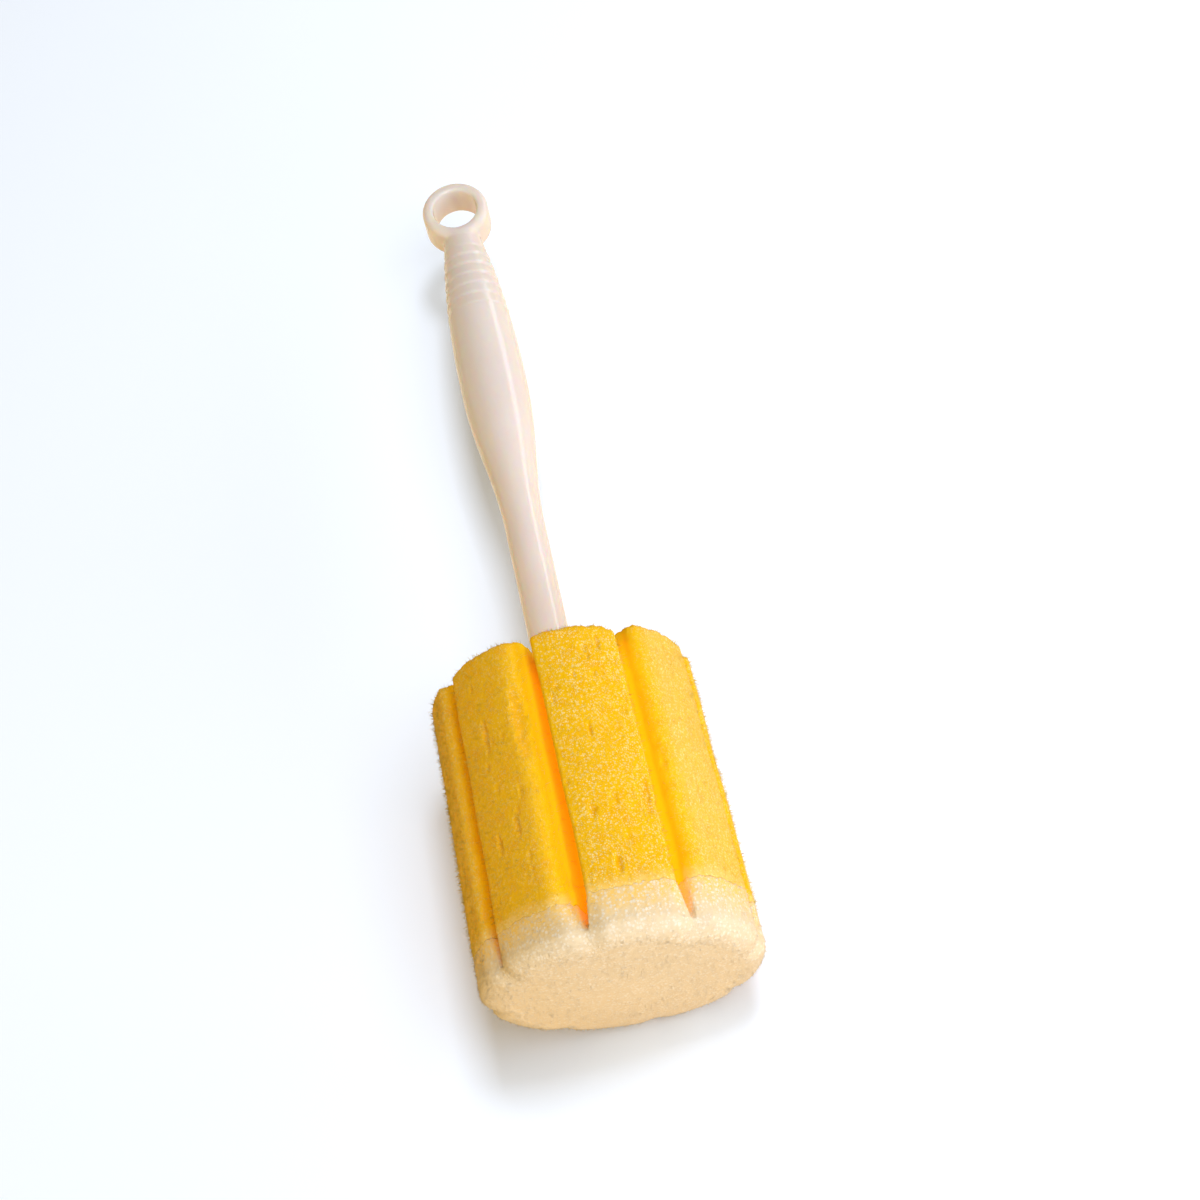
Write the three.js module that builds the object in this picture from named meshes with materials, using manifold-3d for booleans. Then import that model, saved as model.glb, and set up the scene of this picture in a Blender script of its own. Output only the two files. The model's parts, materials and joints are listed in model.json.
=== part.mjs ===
// A glass cleaning brush. A fluted foam head with a pale scouring tip is glued onto the barbed stem of a
// moulded handle, and the handle ends in a hanging ring.
// The brush is made along +Y: y = 0 is the flat face of the scouring tip and y grows towards the ring.
// At the end it is laid on a table, z = 0, on the flanks of two lobes, with the handle clear of the table.
// Lengths are millimetres and angles are degrees.
import * as THREE from 'three';
import Module from 'manifold-3d';
import { mergeVertices } from 'three/addons/utils/BufferGeometryUtils.js';

// Foam head
const HEAD_LENGTH = 85.3; // both foams together
const HEAD_END_RADIUS = 36.4; // outside of the lobes at the scouring tip
const HEAD_FLARE = 1.8; // the lobes are this much closer to the axis at the neck side
const HEAD_TOP_EDGE = 1.4; // rounding of the rim at the neck side
const LOBES = 8;
const SLOT_ANGLE = 6; // between the radial walls of two neighbouring lobes
const SLOT_DEPTH = 15; // from the outside of the lobes to the floor of a slot
const LOBE_CORNER = 2.4; // rounding of a lobe's two outer corners

// Scouring tip
const TIP_LENGTH = 13;
const TIP_EDGE = 4.5; // rounding of the rim of the end face
const TIP_SLOT_ANGLE = 2.5; // what is left of a slot at the end face
const TIP_NOTCH = 1.4; // depth of that slot below a lobe's rounded corners
const FILM = 0.4; // adhesive film between the two foams
const FILM_INSET = 0.8; // the film stays this far inside the foam

// Handle outside the head
const NECK_RADIUS = 5.55;
const NECK_LENGTH = 50.7; // straight part, from the head to the start of the belly
const BELLY_RADIUS = 9.5;
const BELLY_RISE = 47; // from the end of the neck to the thickest place
const GRIP_LENGTH = 51; // from the thickest place to the ring
const RIBS = 6;
const RIB_PITCH = 3.8;
const RIB_START = 23; // from the thickest place to the first rib
const RIB_HEIGHT = 0.4;
const RIB_LEDGE = 0.5; // length of the steep side of a rib

// Hanging ring
const RING_RADIUS = 9.65;
const RING_BORE_RADIUS = 6.5;
const RING_WIDTH = 10.7; // along the axis of its hole
const RING_OUTER_EDGE = 1.7;
const RING_INNER_EDGE = 0.7;
const RING_TURN = 9.2; // the ring is turned this far about the brush, out of line with the slots

// Stem inside the head
const STEM_DEPTH = 57; // from the head's top face down to the stem's point
const STEM_RADIUS = 4.4;
const STEM_POINT = 4; // length of the cone at the stem's point
const COLLAR = 9; // part of the head, next to its top face, where foam hugs the bare neck
const SHOULDER = 3; // cone from the stem up to the neck
const BARBS = 4;
const BARB_HEIGHT = 0.8;
const GLUE_WALL = 1.2; // glue outside the neck's radius
const GLUE_BASE = 1.6; // glue below the stem's point

const CLEARANCE = 0.3; // between any two pieces
const ROUND = 32; // flats round the handle
const RING_ROUND = 40; // flats round the hanging ring
const ARC_FLATS = 4; // flats on each arc of a lobe and on each rounded edge of the ring

// Stations along the brush
const neckEnd = HEAD_LENGTH + NECK_LENGTH;
const bellyTop = neckEnd + BELLY_RISE;
const gripEnd = bellyTop + GRIP_LENGTH;
const throatRadius = RING_WIDTH / 2;
const ringCentre = gripEnd + Math.sqrt(RING_RADIUS ** 2 - throatRadius ** 2);
const stemTip = HEAD_LENGTH - STEM_DEPTH;
const glueTop = HEAD_LENGTH - COLLAR;
const glueRadius = Math.max(NECK_RADIUS, STEM_RADIUS + BARB_HEIGHT) + CLEARANCE + GLUE_WALL;
const boreRadius = glueRadius + CLEARANCE;
const tipTop = TIP_LENGTH - FILM / 2 - CLEARANCE;
const bodyBottom = TIP_LENGTH + FILM / 2 + CLEARANCE;

const manifold = await Module();
manifold.setup();

// Closed solid from a geometry: positions only, welded, without the slivers that lie on an axis.
function solid(geometry) {
  const bare = new THREE.BufferGeometry();
  bare.setAttribute('position', geometry.getAttribute('position'));
  bare.setIndex(geometry.getIndex());
  const welded = mergeVertices(bare, 1e-4);
  const corners = Array.from(welded.getIndex().array);
  const triangles = [];
  for (let i = 0; i < corners.length; i += 3) {
    const [a, b, c] = corners.slice(i, i + 3);
    if (a !== b && b !== c && c !== a) {
      triangles.push(a, b, c);
    }
  }
  const mesh = new manifold.Mesh({
    numProp: 3,
    vertProperties: new Float32Array(welded.getAttribute('position').array),
    triVerts: new Uint32Array(triangles),
  });
  return new manifold.Manifold(mesh);
}

// Named mesh from a solid.
function piece(name, body, material) {
  const mesh = body.getMesh();
  const geometry = new THREE.BufferGeometry();
  geometry.setAttribute('position', new THREE.BufferAttribute(new Float32Array(mesh.vertProperties), 3));
  geometry.setIndex(new THREE.BufferAttribute(new Uint32Array(mesh.triVerts), 1));
  geometry.computeVertexNormals();
  const result = new THREE.Mesh(geometry, material);
  result.name = name;
  return result;
}

// Solid of revolution about the brush's axis. The profile is a list of [radius, y] that climbs from the axis
// back to the axis.
function turned(profile) {
  const points = profile.map(([radius, y]) => new THREE.Vector2(radius, y));
  return solid(new THREE.LatheGeometry(points, ROUND));
}

// Solid through a stack of outlines, each { y, points }, lowest first. All outlines have as many points, which
// run from +Z towards +X.
function lofted(sections) {
  const count = sections[0].points.length;
  const positions = [];
  for (const { y, points } of sections) {
    for (const point of points) {
      positions.push(point.x, y, point.y);
    }
  }
  const index = [];
  for (let level = 0; level + 1 < sections.length; level += 1) {
    for (let i = 0; i < count; i += 1) {
      const here = level * count + i;
      const beside = level * count + ((i + 1) % count);
      index.push(here, beside, here + count);
      index.push(beside, beside + count, here + count);
    }
  }
  addCap(index, sections[0].points, 0, -1);
  addCap(index, sections[sections.length - 1].points, (sections.length - 1) * count, 1);
  const geometry = new THREE.BufferGeometry();
  geometry.setAttribute('position', new THREE.Float32BufferAttribute(positions, 3));
  geometry.setIndex(index);
  return solid(geometry);
}

// Flat end of a loft: the outline is triangulated and each triangle is turned to face up or down the brush.
function addCap(index, points, first, facing) {
  for (const [a, b, c] of THREE.ShapeUtils.triangulateShape(points, [])) {
    const turn = points[b].clone().sub(points[a]).cross(points[c].clone().sub(points[a]));
    if (turn * facing < 0) {
      index.push(first + a, first + b, first + c);
    } else {
      index.push(first + a, first + c, first + b);
    }
  }
}

// Points on an arc, both ends included. Angles are radians from +Z towards +X, and x and y of a point stand for
// X and Z of the brush.
function arc(centreRadius, centreAngle, radius, from, to, flats) {
  const points = [];
  for (let step = 0; step <= flats; step += 1) {
    const angle = THREE.MathUtils.lerp(from, to, step / flats);
    const x = centreRadius * Math.sin(centreAngle) + radius * Math.sin(angle);
    const z = centreRadius * Math.cos(centreAngle) + radius * Math.cos(angle);
    points.push(new THREE.Vector2(x, z));
  }
  return points;
}

// Outline of the lobed head, seen along the brush. Each lobe is an arc with two rounded corners, and the
// radial walls of neighbouring lobes run in to a rounded slot floor. Slots lie on +Z and every lobe pitch on.
function lobedOutline(outerRadius, floorRadius, slotAngle) {
  const quarter = Math.PI / 2;
  const pitch = (2 * Math.PI) / LOBES;
  const halfSlot = THREE.MathUtils.degToRad(slotAngle) / 2;
  const cornerCentre = outerRadius - LOBE_CORNER;
  const cornerLean = Math.asin(LOBE_CORNER / cornerCentre);
  const floorCentre = floorRadius / (1 - Math.sin(halfSlot));
  const floorRound = floorCentre * Math.sin(halfSlot);
  const points = [];
  for (let lobe = 0; lobe < LOBES; lobe += 1) {
    const slot = lobe * pitch;
    const firstWall = slot + halfSlot;
    const lastWall = slot + pitch - halfSlot;
    const firstCorner = firstWall + cornerLean;
    const lastCorner = lastWall - cornerLean;
    const floorFrom = slot - halfSlot - quarter;
    const floorTo = slot + halfSlot - 3 * quarter;
    points.push(...arc(floorCentre, slot, floorRound, floorFrom, floorTo, ARC_FLATS));
    points.push(...arc(cornerCentre, firstCorner, LOBE_CORNER, firstWall - quarter, firstCorner, ARC_FLATS));
    points.push(...arc(0, 0, outerRadius, firstCorner, lastCorner, ARC_FLATS).slice(1, -1));
    points.push(...arc(cornerCentre, lastCorner, LOBE_CORNER, lastCorner, lastWall + quarter, ARC_FLATS));
  }
  return points;
}

// Outside of the lobes at a station: the head flares a little towards its tip.
function headRadius(y) {
  return HEAD_END_RADIUS - (HEAD_FLARE * y) / HEAD_LENGTH;
}

// Yellow foam: constant slots, a rounded rim at the neck side and a stepped bore for the glued stem.
function makeSpongeBody() {
  const sections = [];
  const addSection = (y, inset) => {
    const outer = headRadius(y) - inset;
    sections.push({ y, points: lobedOutline(outer, headRadius(y) - SLOT_DEPTH, SLOT_ANGLE) });
  };
  addSection(bodyBottom, 0);
  const rimSteps = 3;
  for (let step = 0; step <= rimSteps; step += 1) {
    const angle = (step / rimSteps) * (Math.PI / 2);
    const y = HEAD_LENGTH - HEAD_TOP_EDGE * (1 - Math.sin(angle));
    addSection(y, HEAD_TOP_EDGE * (1 - Math.cos(angle)));
  }
  const bore = turned([
    [0, stemTip - 2 * CLEARANCE - GLUE_BASE],
    [boreRadius, stemTip - 2 * CLEARANCE - GLUE_BASE],
    [boreRadius, glueTop + CLEARANCE],
    [NECK_RADIUS + CLEARANCE, glueTop + CLEARANCE],
    [NECK_RADIUS + CLEARANCE, HEAD_LENGTH + 1],
    [0, HEAD_LENGTH + 1],
  ]);
  return lofted(sections).subtract(bore);
}

// Pale foam: its slots start as deep as the sponge's and run out to notches in the rounded end rim.
function makeScouringTip() {
  const sections = [];
  const endFloor = HEAD_END_RADIUS - TIP_EDGE - LOBE_CORNER - TIP_NOTCH;
  const addSection = (y, inset) => {
    const along = y / tipTop;
    const floor = THREE.MathUtils.lerp(endFloor, headRadius(y) - SLOT_DEPTH, along);
    const slot = THREE.MathUtils.lerp(TIP_SLOT_ANGLE, SLOT_ANGLE, along);
    sections.push({ y, points: lobedOutline(headRadius(y) - inset, floor, slot) });
  };
  const rimSteps = 4;
  for (let step = 0; step <= rimSteps; step += 1) {
    const angle = (step / rimSteps) * (Math.PI / 2);
    addSection(TIP_EDGE * (1 - Math.cos(angle)), TIP_EDGE * (1 - Math.sin(angle)));
  }
  addSection((TIP_EDGE + tipTop) / 2, 0);
  addSection(tipTop, 0);
  return lofted(sections);
}

// Adhesive between the foams: the head's outline, a little smaller all round.
function makeLaminationFilm() {
  const outer = headRadius(TIP_LENGTH) - FILM_INSET;
  const floor = headRadius(TIP_LENGTH) - SLOT_DEPTH - FILM_INSET;
  const wider = SLOT_ANGLE + 2 * THREE.MathUtils.radToDeg(FILM_INSET / headRadius(TIP_LENGTH));
  const points = lobedOutline(outer, floor, wider);
  return lofted([
    { y: TIP_LENGTH - FILM / 2, points },
    { y: TIP_LENGTH + FILM / 2, points },
  ]);
}

// Stem from its point up to the neck, as [radius, y]: a cone, barbs that grip against pulling, a shoulder.
function stemProfile() {
  const profile = [[STEM_RADIUS / 2, stemTip], [STEM_RADIUS, stemTip + STEM_POINT]];
  const firstBarb = stemTip + STEM_POINT + BARB_HEIGHT;
  const pitch = (glueTop - SHOULDER - BARB_HEIGHT - firstBarb) / BARBS;
  for (let barb = 0; barb < BARBS; barb += 1) {
    const foot = firstBarb + barb * pitch;
    profile.push([STEM_RADIUS, foot]);
    profile.push([STEM_RADIUS + BARB_HEIGHT, foot + pitch / 2]);
    profile.push([STEM_RADIUS, foot + pitch / 2 + BARB_HEIGHT]);
  }
  profile.push([STEM_RADIUS, glueTop - SHOULDER]);
  profile.push([NECK_RADIUS, glueTop]);
  return profile;
}

// Cured glue: a cup that follows the stem inside and fills the bore outside.
function makeStemGlue() {
  const cupBottom = stemTip - CLEARANCE - GLUE_BASE;
  const inside = stemProfile().map(([radius, y]) => [radius + CLEARANCE, y]).reverse();
  inside[inside.length - 1][1] -= CLEARANCE;
  return turned([
    [0, cupBottom],
    [glueRadius, cupBottom],
    [glueRadius, glueTop],
    ...inside,
    [0, stemTip - CLEARANCE],
  ]);
}

// Radius of the handle above its neck: a soft rise to the belly, then a fall that steepens towards the ring.
function gripRadius(y) {
  if (y < bellyTop) {
    const rise = THREE.MathUtils.smoothstep(bellyTop - y, 0, BELLY_RISE) ** 1.2;
    return THREE.MathUtils.lerp(BELLY_RADIUS, NECK_RADIUS, rise);
  }
  const fall = ((y - bellyTop) / GRIP_LENGTH) ** 2.2;
  return THREE.MathUtils.lerp(BELLY_RADIUS, throatRadius, fall);
}

// Outside of the grip as [radius, y]. Each rib is a shallow cone that widens towards the head and ends in a
// ledge on that side.
function gripProfile() {
  const profile = [];
  const ribsFrom = bellyTop + RIB_START;
  const ribsTo = ribsFrom + RIBS * RIB_PITCH;
  const plainSteps = 18;
  for (let step = 0; step <= plainSteps; step += 1) {
    const y = THREE.MathUtils.lerp(neckEnd, ribsFrom - RIB_LEDGE, step / plainSteps);
    profile.push([gripRadius(y), y]);
  }
  for (let rib = 0; rib < RIBS; rib += 1) {
    const low = ribsFrom + rib * RIB_PITCH;
    const high = low + RIB_PITCH - RIB_LEDGE;
    profile.push([gripRadius(low) + RIB_HEIGHT / 2, low]);
    profile.push([gripRadius(high) - RIB_HEIGHT / 2, high]);
  }
  const lastSteps = 3;
  for (let step = 0; step <= lastSteps; step += 1) {
    const y = THREE.MathUtils.lerp(ribsTo, gripEnd, step / lastSteps);
    profile.push([gripRadius(y), y]);
  }
  return profile;
}

// Hanging ring: a rounded bar section turned about the axis of the hole, which lies along +Z.
function makeRing() {
  const half = RING_WIDTH / 2;
  const bar = new THREE.Path();
  const quarter = Math.PI / 2;
  const outer = RING_RADIUS - RING_OUTER_EDGE;
  const inner = RING_BORE_RADIUS + RING_INNER_EDGE;
  bar.absarc(outer, RING_OUTER_EDGE - half, RING_OUTER_EDGE, -quarter, 0, false);
  bar.absarc(outer, half - RING_OUTER_EDGE, RING_OUTER_EDGE, 0, quarter, false);
  bar.absarc(inner, half - RING_INNER_EDGE, RING_INNER_EDGE, quarter, 2 * quarter, false);
  bar.absarc(inner, RING_INNER_EDGE - half, RING_INNER_EDGE, 2 * quarter, 3 * quarter, false);
  bar.closePath();
  const geometry = new THREE.LatheGeometry(bar.getPoints(ARC_FLATS / 2), RING_ROUND);
  geometry.rotateX(Math.PI / 2);
  geometry.translate(0, ringCentre, 0);
  return solid(geometry);
}

// Handle: stem, neck and grip are one turned shape; the ring joins its end and the hole goes through both.
function makeHandle() {
  const shaft = turned([
    [0, stemTip],
    ...stemProfile(),
    ...gripProfile(),
    [throatRadius, ringCentre],
    [0, ringCentre],
  ]);
  const holeRadius = RING_BORE_RADIUS + RING_INNER_EDGE / 2;
  const hole = new THREE.CylinderGeometry(holeRadius, holeRadius, 4 * RING_WIDTH, RING_ROUND);
  hole.rotateX(Math.PI / 2);
  hole.translate(0, ringCentre, 0);
  return shaft.subtract(solid(hole)).add(makeRing()).rotate([0, RING_TURN, 0]);
}

const ivoryPlastic = new THREE.MeshStandardMaterial({ color: 0xe9ddd0, roughness: 0.3, metalness: 0 });
const yellowFoam = new THREE.MeshStandardMaterial({ color: 0xf6c21a, roughness: 0.95, metalness: 0 });
const paleFoam = new THREE.MeshStandardMaterial({ color: 0xf3dcba, roughness: 0.95, metalness: 0 });
const clearGlue = new THREE.MeshStandardMaterial({ color: 0xd9b978, roughness: 0.5, metalness: 0 });

const handle = piece('handle', makeHandle(), ivoryPlastic);
const spongeBody = piece('sponge_body', makeSpongeBody(), yellowFoam);
const scouringTip = piece('scouring_tip', makeScouringTip(), paleFoam);
const stemGlue = piece('stem_glue', makeStemGlue(), clearGlue);
const laminationFilm = piece('lamination_film', makeLaminationFilm(), clearGlue);

// The brush on the table. The flare of the head tips the brush a little, so that the lowest two lobes lie flat.
// Its footprint is centred on the origin and its lowest points are at z = 0.
const brush = new THREE.Group();
brush.name = 'brush';
brush.add(handle, spongeBody, scouringTip, stemGlue, laminationFilm);
brush.rotation.x = -Math.atan(HEAD_FLARE / HEAD_LENGTH);
const box = new THREE.Box3().setFromObject(brush, true);
const centre = box.getCenter(new THREE.Vector3());
brush.position.set(-centre.x, -centre.y, -box.min.z);

const assembly = new THREE.Group();
assembly.name = 'glass_cleaning_brush';
assembly.add(brush);

export default assembly;
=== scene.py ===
# %% [markdown]
# # A glass cleaning brush
# The brush has a fluted yellow sponge with a pale scouring tip, glued onto the stem of a slim moulded
# handle that ends in a hanging ring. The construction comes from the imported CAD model. This lesson gives
# each piece its real surface: torn foam cells, uneven cut edges, and a smooth moulded handle whose ring
# grows out of the grip. Loading the model first gives a fixed frame, so every new piece can be placed in
# real sizes.

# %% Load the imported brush
import json
from itertools import product

import bpy
import numpy as np
from mathutils import Matrix


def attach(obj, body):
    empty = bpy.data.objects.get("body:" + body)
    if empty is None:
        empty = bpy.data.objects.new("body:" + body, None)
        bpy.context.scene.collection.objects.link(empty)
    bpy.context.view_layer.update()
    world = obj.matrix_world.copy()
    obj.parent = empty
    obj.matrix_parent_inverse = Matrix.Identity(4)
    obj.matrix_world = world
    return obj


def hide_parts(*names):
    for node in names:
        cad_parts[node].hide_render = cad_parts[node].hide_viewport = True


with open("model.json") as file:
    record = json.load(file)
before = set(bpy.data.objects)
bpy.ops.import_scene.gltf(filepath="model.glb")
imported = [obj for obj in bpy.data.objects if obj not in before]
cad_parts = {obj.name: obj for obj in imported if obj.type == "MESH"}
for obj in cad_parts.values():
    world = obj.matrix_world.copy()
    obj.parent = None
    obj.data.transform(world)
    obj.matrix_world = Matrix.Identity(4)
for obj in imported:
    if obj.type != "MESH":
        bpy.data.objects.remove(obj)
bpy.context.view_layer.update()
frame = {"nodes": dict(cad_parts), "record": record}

print("CAD nodes:", sorted(frame["nodes"]))

# %% [markdown]
# ## The brush's own axes
# The brush lies on a table, tipped a little by the flare of its head. Measuring along a tipped brush is
# awkward, so the lesson works in the brush's own axes, in millimetres, and turns them into the frame at
# the very end. Two mounts of the CAD record give those axes: the flat end of the scouring tip, and the
# hole of the hanging ring.

# %% Axes from the record's mounts
MM = 0.001
mounts = {mount["name"]: mount for mount in frame["record"]["mounts"]}
tip_centre = np.array(mounts["scouring_face"]["pos_m"])
along = -np.array(mounts["scouring_face"]["axis"])
along /= np.linalg.norm(along)
side = np.array([1.0, 0.0, 0.0])
upward = np.cross(side, along)
ring_axis = np.array(mounts["hang_eye"]["axis"])
ring_axis -= along * (ring_axis @ along)
ring_axis /= np.linalg.norm(ring_axis)
ring_side = np.cross(along, ring_axis)

HEAD_AXES = np.array([side, along, upward])
HANDLE_AXES = np.array([ring_side, along, ring_axis])


def in_frame(points, axes):
    """Brush millimetres to frame metres: the tip's centre plus each coordinate times its own axis."""
    return tip_centre + MM * (points @ axes)


ring_turn = np.degrees(np.arctan2(ring_axis @ side, ring_axis @ upward))
print("ring turned by", round(float(ring_turn), 2), "degrees")

# %% [markdown]
# ## The camera
# The photograph looks down on the brush from beyond its tip, so the end face shows below the lobes. A
# camera can be aimed by an Empty and a Track To constraint. Here its matrix is written straight away,
# from where it stands and which way it looks, measured on the ring's side, along the brush, and along the
# ring's hole.

# %% Camera
CAMERA_PLACE = np.array([15.5, -206.1, 597.7])
CAMERA_LOOK = np.array([0.0, 0.4647, -0.8855])
CAMERA_UP = np.array([0.2270, 0.8625, 0.4526])
CAMERA_LENS = 75.0
CAMERA_SENSOR = 36.0
NO_LENGTH = 1e-9


def new_object(name, data):
    """An object of the given data, linked into the scene."""
    obj = bpy.data.objects.new(name, data)
    bpy.context.scene.collection.objects.link(obj)
    return obj


def unit(vectors):
    """Each vector divided by its length."""
    return vectors / np.maximum(np.linalg.norm(vectors, axis=-1, keepdims=True), NO_LENGTH)


def facing_matrix(backward, guide, place):
    """Matrix whose columns are the right, top and backward directions and the place; guide shows the top."""
    right = unit(np.cross(guide, backward))
    matrix = np.eye(4)
    matrix[:3] = np.stack([right, np.cross(backward, right), backward, place], axis=1)
    return Matrix(matrix.tolist())


def add_camera():
    """The camera of the photograph: it looks against its matrix's backward direction."""
    data = bpy.data.cameras.new("photo_camera")
    data.lens = CAMERA_LENS
    data.sensor_width = CAMERA_SENSOR
    camera = new_object("photo_camera", data)
    backward = -unit(CAMERA_LOOK @ HANDLE_AXES)
    place = in_frame(CAMERA_PLACE, HANDLE_AXES)
    camera.matrix_world = facing_matrix(backward, CAMERA_UP @ HANDLE_AXES, place)
    bpy.context.scene.camera = camera
    return camera


camera = add_camera()
print("camera at", [round(value, 4) for value in camera.matrix_world.translation])

# %% [markdown]
# ## Noise for foam
# Foam is a pack of bubbles. Where three bubbles meet there is a strut, and a cut through the foam shows
# cups with struts standing up between them. A Voronoi texture draws such cells in a shader, but the edge
# of the sponge has to be rough too, so the cells have to move the mesh. These helpers work out the cells
# for whole arrays of points: a lattice cube gets one bubble centre at a place that depends only on the
# cube's number, the same in each run.

# %% Hashed numbers, bubbles and soft unevenness
MIXERS = np.array([0x9E3779B97F4A7C15, 0xC2B2AE3D27D4EB4F, 0x165667B19E3779F9], dtype=np.uint64)
SHIFT = np.uint64(29)
KEEP_BITS = np.uint64(11)
HASH_SPAN = float(2 ** 53)
FAR_AWAY = 9.0


def hashed(cubes, seed):
    """A number from 0 to 1 for each cube: its three whole numbers times large odd ones, mixed by shifts."""
    words = cubes.astype(np.int64).astype(np.uint64)
    word = words[..., 0] * MIXERS[0] + words[..., 1] * MIXERS[1] + words[..., 2] * MIXERS[2]
    word = word + np.uint64(seed) * MIXERS[1]
    for mixer in MIXERS:
        word = (word ^ (word >> SHIFT)) * mixer
    word = word ^ (word >> SHIFT)
    return (word >> KEEP_BITS).astype(np.float64) / HASH_SPAN


def smooth(value):
    """0 below 0, 1 above 1, and an S-shaped ramp between them."""
    value = np.clip(value, 0.0, 1.0)
    return value * value * (3.0 - 2.0 * value)


def nearest_bubbles(points, seed):
    """Distances from each point to the nearest three bubble centres, one centre in each unit cube."""
    home = np.floor(points)
    nearest = [np.full(points.shape[:-1], FAR_AWAY) for _ in range(3)]
    for step in product((-1.0, 0.0, 1.0), repeat=3):
        cube = home + np.array(step)
        centre = cube + np.stack([hashed(cube, seed + axis) for axis in range(3)], axis=-1)
        distance = np.linalg.norm(points - centre, axis=-1)
        for rank in range(3):
            closer = np.minimum(nearest[rank], distance)
            distance = np.maximum(nearest[rank], distance)
            nearest[rank] = closer
    return nearest


def soft_noise(points, seed):
    """Unevenness from -1 to 1: hashed lattice numbers, mixed between the corners by S-shaped ramps."""
    home = np.floor(points)
    inside = smooth(points - home)
    total = np.zeros(points.shape[:-1])
    for corner in product((0.0, 1.0), repeat=3):
        corner = np.array(corner)
        weight = np.prod(np.where(corner > 0, inside, 1.0 - inside), axis=-1)
        total += weight * hashed(home + corner, seed)
    return 2.0 * total - 1.0


print("hashed numbers of three cubes:", hashed(np.eye(3), 0).round(3))

# %% [markdown]
# ## From a grid of points to a mesh
# Both foams are grids: a row runs once round the head and the rows climb from one end to the other, like
# the rings and ribs of a basket. A grid can be filled with quads by arithmetic alone. Its first and last
# row close on a single point, so the surface has no hole. The grid also gives a tidy UV map, by length
# round and length along.

# %% Grid to mesh
def grid_faces(rows, columns):
    """Corner numbers of the quads between neighbouring rows and columns. The last column joins the first."""
    row, column = np.meshgrid(np.arange(rows - 1), np.arange(columns), indexing="ij")
    beside = (column + 1) % columns
    quads = np.stack([row * columns + column, row * columns + beside,
                      (row + 1) * columns + beside, (row + 1) * columns + column], axis=-1)
    return quads.reshape(-1, 4)


def cap_faces(ring, pole, upside):
    """Triangles from a row of corner numbers to one point, turned so that they face outwards."""
    beside = np.roll(ring, -1)
    first, second = (ring, beside) if upside else (beside, ring)
    return np.stack([first, second, np.full(len(ring), pole)], axis=-1)


def mesh_from_faces(name, points, quads, triangles):
    """A mesh written as flat arrays: places, then the corners of all faces, then where each face starts."""
    mesh = bpy.data.meshes.new(name)
    mesh.vertices.add(len(points))
    mesh.vertices.foreach_set("co", points.astype(np.float32).ravel())
    corners = np.concatenate([quads.ravel(), triangles.ravel()]).astype(np.int32)
    starts = np.concatenate([np.arange(len(quads)) * 4,
                             len(quads) * 4 + np.arange(len(triangles)) * 3]).astype(np.int32)
    mesh.loops.add(len(corners))
    mesh.loops.foreach_set("vertex_index", corners)
    mesh.polygons.add(len(starts))
    mesh.polygons.foreach_set("loop_start", starts)
    mesh.polygons.foreach_set("use_smooth", np.ones(len(starts), dtype=bool))
    mesh.update(calc_edges=True)
    mesh.validate()
    return mesh


def write_uv(mesh, uv):
    """The UV map that finishes are baked to, with one place for each corner of a face."""
    layer = mesh.uv_layers.new(name="OFBake")
    layer.data.foreach_set("uv", uv.astype(np.float32).ravel())


def add_object(name, mesh, material, body_slot, *nodes):
    """An object at the origin that rides on the brush's one body and stands for the named CAD nodes."""
    obj = new_object(name, mesh)
    mesh.materials.append(material)
    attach(obj, "root")
    if nodes:
        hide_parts(*nodes)
    print(name, "has", len(mesh.vertices), "points and", len(mesh.polygons), "faces")
    return obj


print("a grid of 3 rows and 4 columns has", len(grid_faces(3, 4)), "quads")

# %% [markdown]
# ## The lobed outline
# The head is a foam cylinder with eight slots cut towards its axis, which leaves eight lobes. A knife and
# a hot wire never cut two lobes alike: one corner stays sharp and the next is worn round. So each lobe
# has its own wall angles and corner radii. The outline is a chain of six stretches per lobe, each a line
# or an arc: slot floor, wall, corner, outside, corner, wall. It could be a Bevel on a cut cylinder, but a
# formula keeps the grid regular.

# %% Sizes of the head
HEAD_LENGTH = 85.3
HEAD_END_RADIUS = 36.4
HEAD_FLARE = 1.8
SLOT_DEPTH = 15.0
LOBES = 8
PITCH = 360.0 / LOBES

# Lobe 0 faces the camera, lobe 1 is to its right, and lobe 7 is to its left.
FIRST_GAPS = np.array([2.9, 1.2, 3.2, 2.6, 3.3, 2.8, 3.1, 2.9])
LAST_GAPS = np.array([4.5, 3.6, 2.8, 3.3, 2.6, 3.2, 4.0, 2.9])
FIRST_CORNERS = np.array([0.9, 2.4, 2.2, 3.0, 1.8, 2.6, 2.4, 2.0])
LAST_CORNERS = np.array([2.3, 3.0, 1.6, 2.4, 3.4, 1.9, 2.8, 5.6])
SLOT_TAPERS = np.array([0.5, 0.0, 0.1, -0.1, 0.15, 0.0, 0.1, 0.1])


def head_radius(y):
    """Outside of the lobes at a station: the head narrows evenly from its tip to the neck side."""
    return HEAD_END_RADIUS - HEAD_FLARE * y / HEAD_LENGTH


def slot_widths(y):
    """Width of each slot at a station over its width halfway: some cuts run wider towards the tip."""
    return 1.0 + SLOT_TAPERS * (0.5 - y / HEAD_LENGTH)


tip_width, neck_width = 2.0 * head_radius(np.array([0.0, HEAD_LENGTH]))
print("head is", round(tip_width, 1), "mm across at the tip, and", round(neck_width, 1), "mm at the neck")

# %% Outline of the head
FLOOR_STEPS = 6
WALL_STEPS = 16
CORNER_STEPS = 12
OUTSIDE_STEPS = 70
COLUMNS_PER_LOBE = FLOOR_STEPS + 2 * WALL_STEPS + 2 * CORNER_STEPS + OUTSIDE_STEPS
COLUMNS = LOBES * COLUMNS_PER_LOBE


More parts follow.
